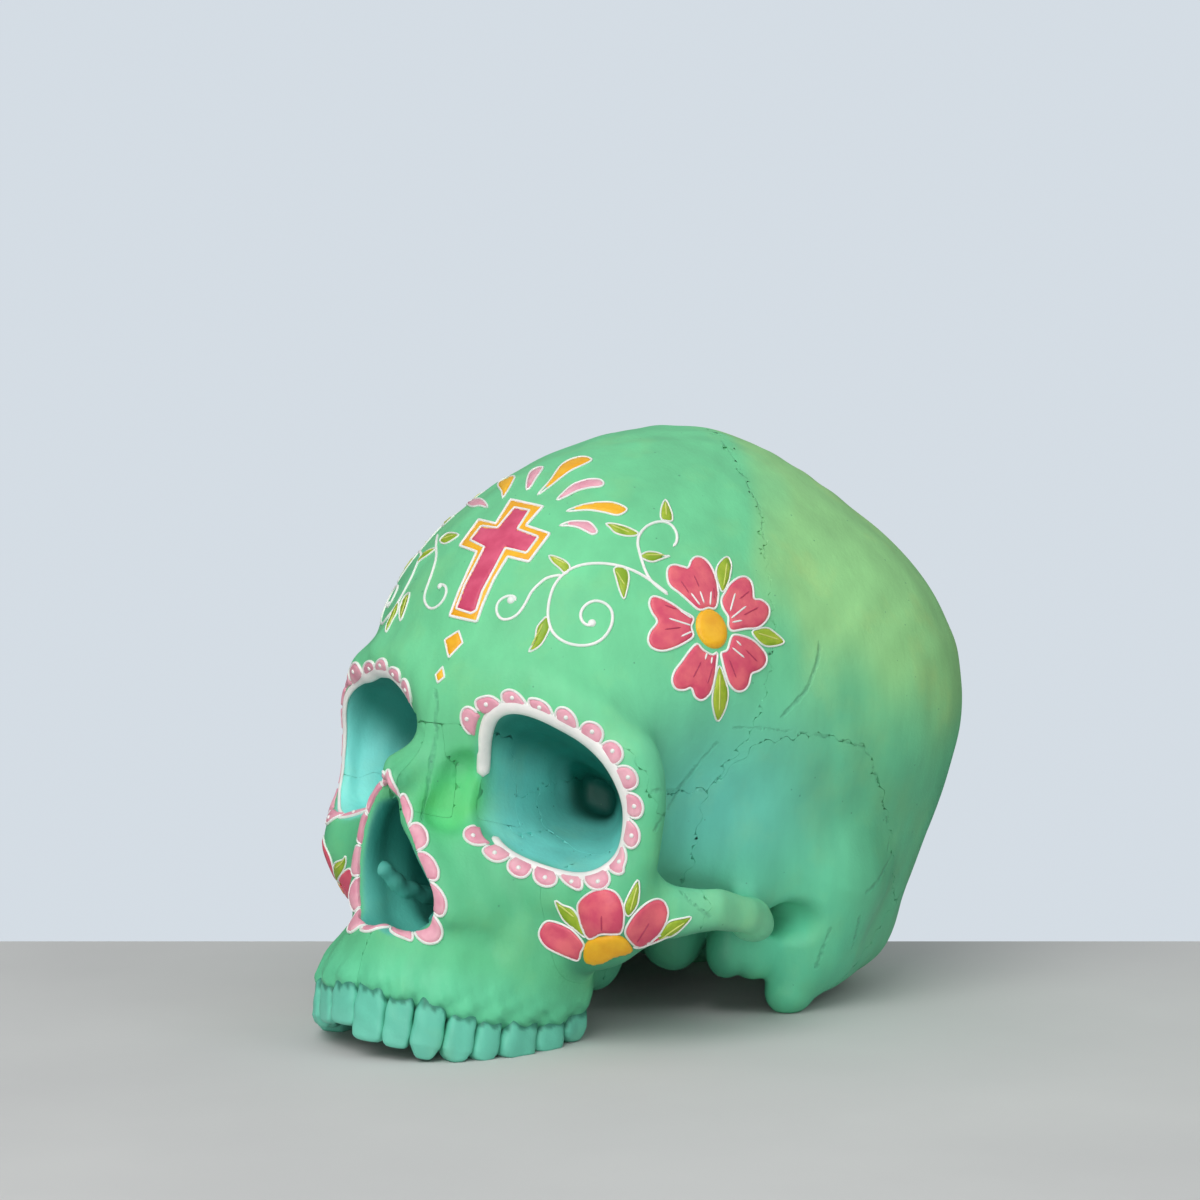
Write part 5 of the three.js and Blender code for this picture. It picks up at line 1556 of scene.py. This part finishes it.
cross_lines = line(cross_outline, facing_us, pixel, 0.36, 0.4, closed=True, soft=False, base=0.35)
cross_lines += line(border_outline, facing_us, pixel, 0.42, 0.45, closed=True, soft=False, base=0.1)
ornament("cross_lines", cross_lines, line_white)


# Diamonds below the cross
# Two small amber diamonds of puffed paint, one under the other between the brows, each edged
# with a thin white line.
diamonds = [
    [(459, 631), (463, 643), (449, 658), (445, 640)],
    [(443, 667), (445, 677), (438, 683), (436, 675)],
]
diamond_puff = 0.5, 0.7
thin_line = 0.3, 0.32


def edged(outlines, places, puff_size, line_size, soft=True, base=0.1):
    """Puffs over several outlines, by height and shoulder, and the raised lines along their edges."""
    puffs, lines = [], []
    for outline in outlines:
        puffs += puff(outline, places, pixel, *puff_size, soft=soft)
        lines += line(outline, places, pixel, *line_size, closed=True, soft=soft, base=base)
    return puffs, lines


diamond_puffs, diamond_lines = edged(diamonds, facing_us, diamond_puff, thin_line, soft=False)
ornament("diamonds", diamond_puffs, amber)
ornament("diamond_lines", diamond_lines, line_white)


# Rays over the cross
# Long drops of amber and pink paint fan out round the head of the cross, thick at the far end and
# pointed toward it. Each is puffed and edged with a thin white line.
amber_rays = [
    [(538, 495), (550, 481), (560, 467), (570, 460), (583, 457)]
    + [(592, 460), (585, 464.5), (572, 470.5), (560, 479), (550, 487)],
    [(567, 511.5), (580, 506), (595, 503), (610, 502.5), (620, 505)]
    + [(627, 510), (618, 515.5), (605, 513), (590, 510.5), (578, 511)],
    [(503, 498), (502, 492), (498, 485), (503, 480), (510, 477), (515, 477), (512, 484), (508, 491)],
]
pink_rays = [
    [(557, 500), (570, 487), (580, 482), (590, 479.5), (600, 480)]
    + [(604, 484), (600, 487), (590, 488), (578, 491), (566, 497)],
    [(560, 526), (570, 522), (582, 521.5), (590, 523), (596, 529)]
    + [(597, 533), (592, 534.5), (585, 531), (577, 527.5), (568, 526)],
    [(527, 490), (527, 482), (530, 473), (536, 468.5), (543, 467.5), (541, 472), (536, 479), (531, 487)],
    [(466, 503), (473, 500), (480, 499), (485, 502), (488, 508), (480, 506), (472, 507)],
]
ray_puff = 0.55, 0.7
amber_puffs, amber_lines = edged(amber_rays, facing_us, ray_puff, thin_line)
pink_puffs, pink_lines = edged(pink_rays, facing_us, ray_puff, thin_line)
ornament("amber_rays", amber_puffs, amber)
ornament("pink_rays", pink_puffs, scallop_pink)
ornament("ray_lines", amber_lines + pink_lines, line_white)


# Vines
# Thin lines of white paint from a fine nozzle, raised less than half a millimetre. They curl over
# the brow from the temple flowers, and the three that end in a full coil close with a dot.
def both_sides(onto):
    """Places seen on the left side, and the same places on the right."""

    def right_side(flat):
        return settle(right_hand(onto(flat)))

    return onto, right_side


on_both = both_sides(seen_at)
main_vine = [(668, 594), (650, 580), (635, 571), (617, 565), (598, 563), (580, 565), (567, 571)]
main_vine += [(556, 582), (551, 593), (548, 607), (548, 620), (552, 632), (560, 640), (572, 645)]
main_vine += [(585, 646), (597, 643), (606, 636), (612, 625), (613, 613), (608, 605), (600, 601)]
main_vine += [(592, 601), (584, 606), (580, 614), (582, 622), (588, 626), (594, 624)]
brow_vine = [(562, 575), (548, 577), (540, 583), (531, 592), (526, 603), (518, 615), (508, 620)]
brow_vine += [(500, 619), (496, 611), (498, 602), (506, 596), (515, 596), (516, 601)]
upper_vine = [(668, 595), (652, 583), (645, 571), (640, 555), (637, 542), (640, 533), (648, 525)]
upper_vine += [(660, 521), (671, 524), (677, 533), (677, 542), (673, 547)]
far_vine = [(438, 534), (436, 545), (437, 555), (435, 565), (430, 580), (426, 590), (424, 600)]
far_vine += [(428, 608), (434, 609), (441, 604), (446, 596), (447, 588), (443, 584), (438, 586)]
vine_lines = []
for path in (main_vine, upper_vine):
    vine_lines += line(path, on_both, pixel, half=0.42, rise=0.4, base=0.05)
for path in (brow_vine, far_vine):
    vine_lines += line(path, facing_us, pixel, half=0.4, rise=0.38, base=0.05)
vine_lines += dab((592, 623), on_both, half=1.05, rise=0.6)
vine_lines += dab((511, 600), facing_us, half=1.1, rise=0.6)
vine_lines += dab((440, 586), facing_us, half=0.9, rise=0.55)
ornament("vines", vine_lines, line_white)


# Leaves
# Small pointed leaves of puffed lime paint on the vines and between the petals. Each is edged
# with a thin white line and has a paler midrib laid on top.
vine_leaves = [
    [(549, 556), (556, 557), (565, 561), (570, 567), (566, 574), (559, 568), (553, 563)],
    [(614, 569), (616, 578), (620, 592), (624, 599), (627, 590), (629, 578), (627, 570), (620, 567)],
    [(529, 652), (535, 640), (537, 628), (543, 620), (547, 617), (550, 625), (547, 635), (540, 646)],
    [(665, 500), (661, 509), (661, 519), (666, 521), (672, 521), (672, 514), (669, 506)],
    [(606, 524), (614, 524), (626, 527), (638, 533), (635, 536), (625, 536), (615, 533), (610, 528)],
    [(640, 556), (648, 552), (658, 553), (664, 556), (670, 556), (662, 559), (652, 562), (643, 559)],
    [(722, 592), (717, 580), (716, 570), (720, 562), (727, 557), (731, 564), (730, 575), (727, 585)],
    [(752, 632), (758, 629), (767, 628), (775, 633), (784, 642), (775, 646), (765, 646), (757, 640)],
    [(719, 666), (714, 684), (712, 700), (714, 714), (718, 721), (725, 709), (728, 694), (725, 680)],
]
far_leaves = [
    [(440, 541), (444, 536), (450, 533), (459, 535), (453, 540), (445, 544)],
    [(410, 593), (407, 606), (401, 621), (400, 610), (404, 598)],
]
leaf_lime = enamel("leaf_lime", (132, 168, 26), (172, 192, 52))
rib_lime = enamel("rib_lime", (196, 206, 96), (212, 216, 120))
leaf_puff = 0.5, 0.8
leaf_line = 0.26, 0.3
rib_line = 0.2, 0.2


def leaf_set(name, groups):
    """One set of leaves, their edges and their ribs, from outlines and the sides they lie on."""
    puffs, lines, ribs = [], [], []
    for outlines, places in groups:
        group_puffs, group_lines = edged(outlines, places, leaf_puff, leaf_line, base=0.08)
        puffs += group_puffs
        lines += group_lines
        for outline in outlines:
            root, tip = np.array([outline[0], outline[len(outline) // 2]], float)
            rib = root + (tip - root) * np.array([[0.15], [0.5], [0.8]])
            ribs += line(rib, places, pixel, *rib_line, base=0.5)
    ornament(name, puffs, leaf_lime)
    ornament(f"{name}_lines", lines, line_white)
    ornament(f"{name}_ribs", ribs, rib_lime)


leaf_set("vine_leaves", ((vine_leaves, on_both), (far_leaves, facing_us)))


# Temple flowers
# Five heart-shaped petals of rosy paint round an amber button, edged in white, with white and
# dark red strokes drawn out from the middle; one flower on each temple.
flower_middle = (711.5, 629)
petals = [
    [(702, 610), (697, 609), (690, 603), (680, 594), (670, 586), (667, 577), (668, 568)]
    + [(674, 565), (683, 567), (688, 568), (691, 561), (696, 557), (704, 559), (711, 567)]
    + [(716, 580), (718, 593), (717, 604), (714, 609), (708, 608)],
    [(723, 609), (721, 600), (725, 592), (730, 584), (738, 578), (745, 577), (751, 582)]
    + [(753, 591), (754, 599), (761, 600), (768, 606), (769, 614), (765, 622), (757, 628)]
    + [(745, 629), (732, 631), (728, 626), (728, 617)],
    [(732, 636), (742, 636), (752, 640), (760, 647), (766, 656), (765, 665), (758, 671)]
    + [(751, 674), (749, 683), (744, 690), (736, 691), (729, 684), (725, 673), (722, 661)]
    + [(721, 653), (727, 650)],
    [(697, 644), (703, 650), (712, 655), (717, 653), (716, 667), (714, 680), (710, 693)]
    + [(702, 700), (695, 697), (691, 688), (684, 690), (676, 689), (672, 682), (674, 672)]
    + [(682, 661), (690, 650)],
    [(693, 618), (682, 611), (672, 604), (660, 598), (652, 597), (649, 604), (652, 613)]
    + [(657, 622), (650, 632), (648, 641), (652, 648), (662, 651), (674, 648), (686, 642)]
    + [(693, 636), (691, 627)],
]
button_half_width, button_half_height, button_slant = 16, 20, 2
button_turn = np.linspace(0, 2 * np.pi, 18, endpoint=False)
button_cos, button_sin = np.cos(button_turn), np.sin(button_turn)
button_across = flower_middle[0] + button_half_width * button_cos + button_slant * button_sin
button_down = flower_middle[1] + button_half_height * button_sin + button_slant * button_cos
button = np.stack([button_across, button_down], -1)
white_strokes = [[(699, 606), (690, 594)], [(703, 604), (699, 592)], [(709, 606), (710, 592)]]
white_strokes += [[(729, 612), (734, 594)], [(730, 619), (745, 607)], [(731, 623), (741, 621)]]
white_strokes += [[(735, 641), (740, 646)], [(731, 648), (743, 658)], [(711, 657), (710, 664)]]
white_strokes += [[(706, 653), (704, 660)], [(690, 626), (668, 619)], [(691, 619), (679, 611)]]
white_strokes += [[(691, 632), (680, 637)]]
red_strokes = [[(688, 594), (680, 582)], [(698, 588), (693, 576)], [(713, 600), (712, 588)]]
red_strokes += [[(738, 600), (748, 592)], [(742, 616), (757, 608)], [(744, 650), (756, 662)]]
red_strokes += [[(728, 660), (735, 678)], [(700, 662), (692, 678)], [(711, 668), (706, 684)]]
red_strokes += [[(680, 628), (664, 630)], [(676, 610), (664, 606)]]
petal_puff = 0.6, 1.3
petal_line = 0.33, 0.36
stroke_base = 0.6
petal_rose = enamel("petal_rose", (214, 74, 104), (232, 106, 116))
petal_red = enamel("petal_red", (176, 48, 84), (190, 60, 92))
flower_puffs, flower_lines = edged(petals, on_both, petal_puff, petal_line)
flower_strokes = []
for stroke in white_strokes:
    flower_lines += line(stroke, on_both, pixel, half=0.24, rise=0.2, base=stroke_base)
for stroke in red_strokes:
    flower_strokes += line(stroke, on_both, pixel, half=0.2, rise=0.16, base=stroke_base)
ornament("temple_petals", flower_puffs, petal_rose)
ornament("temple_petal_lines", flower_lines, line_white)
ornament("temple_petal_strokes", flower_strokes, petal_red)
ornament("temple_buttons", puff(button, on_both, pixel, height=1.1, shoulder=2.4), amber)


# Cheek flowers
# Half a flower on each cheek bone, in the same rosy puffs with white edges: three petals and a
# sliver of a fourth over half an amber button, which the cheek's lower edge cuts off.
cheek_sight = 150.0
cheek_middle = np.array([605.0, 932.0])
right_cheek_shift = np.array([-2.5, 6.5, 1.5])
right_flower_scale = 0.72


def on_left_cheek(pixels):
    """Where each picture place lies on the left cheek."""
    return seen_at(pixels, cheek_sight)


def on_right_cheek(pixels):
    """The same places on the right cheek, drawn in toward the flower's middle."""
    drawn_in = cheek_middle + (np.asarray(pixels, float) - cheek_middle) * right_flower_scale
    return settle(right_hand(on_left_cheek(drawn_in)) + right_cheek_shift)


on_cheeks = (on_left_cheek, on_right_cheek)
cheek_petals = [
    [(588, 938), (583, 930), (579, 917), (578, 905), (584, 897), (594, 891), (606, 889)]
    + [(616, 893), (622, 903), (624, 917), (621, 932), (612, 934), (601, 934), (593, 938)],
    [(625, 933), (630, 920), (638, 910), (648, 902), (657, 899), (664, 902)]
    + [(668, 911), (666, 922), (659, 934), (650, 942), (641, 947), (635, 946)],
    [(584, 944), (575, 932), (566, 926), (556, 922), (547, 921), (541, 927)]
    + [(539, 936), (545, 946), (555, 952), (567, 957), (578, 960), (581, 952)],
    [(634, 947), (645, 943), (655, 937), (664, 934), (668, 935), (662, 939), (652, 943), (641, 947)],
]
cheek_button = [(585, 944), (592, 938), (603, 936), (615, 934), (625, 938), (631, 945), (633, 951)]
cheek_button += [(626, 955), (614, 958), (605, 963), (597, 965), (587, 964), (583, 957)]
cheek_strokes = [[(602, 930), (602, 915)], [(636, 941), (648, 922)]]
cheek_leaves = [
    [(555, 901), (563, 905), (573, 909), (580, 920), (586, 937), (576, 930), (563, 919)],
    [(628, 916), (624, 907), (630, 892), (638, 880), (639, 895), (636, 907)],
]
outer_leaf = [(655, 941), (663, 928), (670, 921), (683, 918), (691, 917), (686, 924), (675, 934), (664, 938)]
cheek_puff = 0.6, 1.2
cheek_line = 0.3, 0.34
cheek_puffs, cheek_lines = edged(cheek_petals, on_cheeks, cheek_puff, cheek_line)
cheek_marks = []
for stroke in cheek_strokes:
    cheek_marks += line(stroke, on_cheeks, pixel, half=0.22, rise=0.18, base=stroke_base)
ornament("cheek_petals", cheek_puffs, petal_rose)
ornament("cheek_petal_lines", cheek_lines, line_white)
ornament("cheek_petal_strokes", cheek_marks, petal_red)
ornament("cheek_buttons", puff(cheek_button, on_cheeks, pixel, height=0.9, shoulder=1.8), amber)
leaf_set("cheek_leaves", ((cheek_leaves, on_cheeks), ([outer_leaf], (on_left_cheek,))))


# Stage
# A pale stone slab under the skull, with three soft round lights: a large one over the face, one
# beside the camera and a weak one on the skull's left. The pale room is brighter overhead.
slab_behind, slab_ahead, slab_half, slab_thick, slab_edge = 0.085, 0.75, 0.85, 0.05, 0.006
stone_dark, stone_light = (0.54, 0.54, 0.54, 1), (0.66, 0.66, 0.65, 1)
away = np.array([-np.sin(camera_turn), np.cos(camera_turn), 0])
slab_profile = [(slab_behind, -slab_thick), (slab_behind, -slab_edge), (slab_behind - slab_edge, 0.0)]
slab_profile += [(-slab_ahead, 0.0), (-slab_ahead, -slab_thick)]
slab_points, slab_faces = [], []
for along, high in slab_profile:
    for edge in (-slab_half, slab_half):
        slab_points.append(tuple(away * along + camera_right * edge + np.array([0, 0, high])))
for i in range(len(slab_profile)):
    j = (i + 1) % len(slab_profile)
    slab_faces.append([2 * i, 2 * i + 1, 2 * j + 1, 2 * j])
slab_faces.append([2 * i for i in range(len(slab_profile))])
slab_faces.append([2 * i + 1 for i in range(len(slab_profile))][::-1])
slab_mesh = bpy.data.meshes.new("pale_slab")
slab_mesh.from_pydata(slab_points, [], slab_faces)
slab = bpy.data.objects.new("pale_slab", slab_mesh)
bpy.context.collection.objects.link(slab)
stone = bpy.data.materials.new("pale_stone")
stone.use_nodes = True
stone_nodes, stone_links = stone.node_tree.nodes, stone.node_tree.links
stone_noise = stone_nodes.new("ShaderNodeTexNoise")
stone_noise.inputs["Scale"].default_value = 9
stone_noise.inputs["Detail"].default_value = 6
stone_place = stone_nodes.new("ShaderNodeTexCoord")
stone_links.new(stone_place.outputs["Object"], stone_noise.inputs["Vector"])
stone_ramp = stone_nodes.new("ShaderNodeValToRGB")
stone_ramp.color_ramp.elements[0].color = stone_dark
stone_ramp.color_ramp.elements[1].color = stone_light
stone_links.new(stone_noise.outputs["Fac"], stone_ramp.inputs[0])
stone_links.new(stone_ramp.outputs[0], stone_nodes["Principled BSDF"].inputs["Base Color"])
stone_nodes["Principled BSDF"].inputs["Roughness"].default_value = 0.9
slab_mesh.materials.append(stone)

lit_place = np.array([0, 0, 0.08])


def soft_light(name, place, size, power, tone):
    """A round lamp that looks at the middle of the skull."""
    data = bpy.data.lights.new(name, "AREA")
    data.shape = "DISK"
    data.size = size
    data.energy = power
    data.color = tone
    lamp = bpy.data.objects.new(name, data)
    bpy.context.collection.objects.link(lamp)
    back = (place - lit_place) / np.linalg.norm(place - lit_place)
    right = np.cross([0, 0, 1.0], back)
    right /= np.linalg.norm(right)
    lamp_matrix = np.eye(4)
    lamp_matrix[:3] = np.stack([right, np.cross(back, right), back, place], -1)
    lamp.matrix_world = Matrix(lamp_matrix.tolist())


over_face = np.array([0.35, -1.5, 1.6])
by_camera = camera_back * 1.7 - camera_right * 0.25 + np.array([0, 0, 0.05])
on_left = camera_back * 0.9 + camera_right * 1.6 + np.array([0, 0, 1.1])
soft_light("key_light", over_face, size=1.7, power=25.5, tone=(1, 0.99, 0.97))
soft_light("face_light", by_camera, size=0.9, power=8.5, tone=(1, 1, 1))
soft_light("fill_light", on_left, size=1.2, power=5, tone=(0.95, 0.98, 1))

room_floor, room_above = (0.1, 0.11, 0.12, 1), (0.93, 0.97, 1.0, 1)
room_strength = 0.56
backdrop = (0.66, 0.72, 0.78, 1)
world = bpy.data.worlds.new("pale_room")
bpy.context.scene.world = world
world.use_nodes = True
world_nodes, world_links = world.node_tree.nodes, world.node_tree.links
room_light = world_nodes["Background"]
room_place = world_nodes.new("ShaderNodeTexCoord")
room_split = world_nodes.new("ShaderNodeSeparateXYZ")
room_ramp = world_nodes.new("ShaderNodeValToRGB")
room_ramp.color_ramp.elements[0].position = 0.1
room_ramp.color_ramp.elements[0].color = room_floor
room_ramp.color_ramp.elements[1].position = 0.75
room_ramp.color_ramp.elements[1].color = room_above
world_links.new(room_place.outputs["Generated"], room_split.inputs[0])
world_links.new(room_split.outputs["Z"], room_ramp.inputs[0])
world_links.new(room_ramp.outputs[0], room_light.inputs["Color"])
room_light.inputs["Strength"].default_value = room_strength
shown = world_nodes.new("ShaderNodeBackground")
shown.inputs["Color"].default_value = backdrop
shown.inputs["Strength"].default_value = 1.0
path_node = world_nodes.new("ShaderNodeLightPath")
choose = world_nodes.new("ShaderNodeMixShader")
world_links.new(path_node.outputs["Is Camera Ray"], choose.inputs[0])
world_links.new(room_light.outputs[0], choose.inputs[1])
world_links.new(shown.outputs[0], choose.inputs[2])
world_links.new(choose.outputs[0], world_nodes["World Output"].inputs["Surface"])
bpy.context.scene.view_settings.view_transform = "Standard"
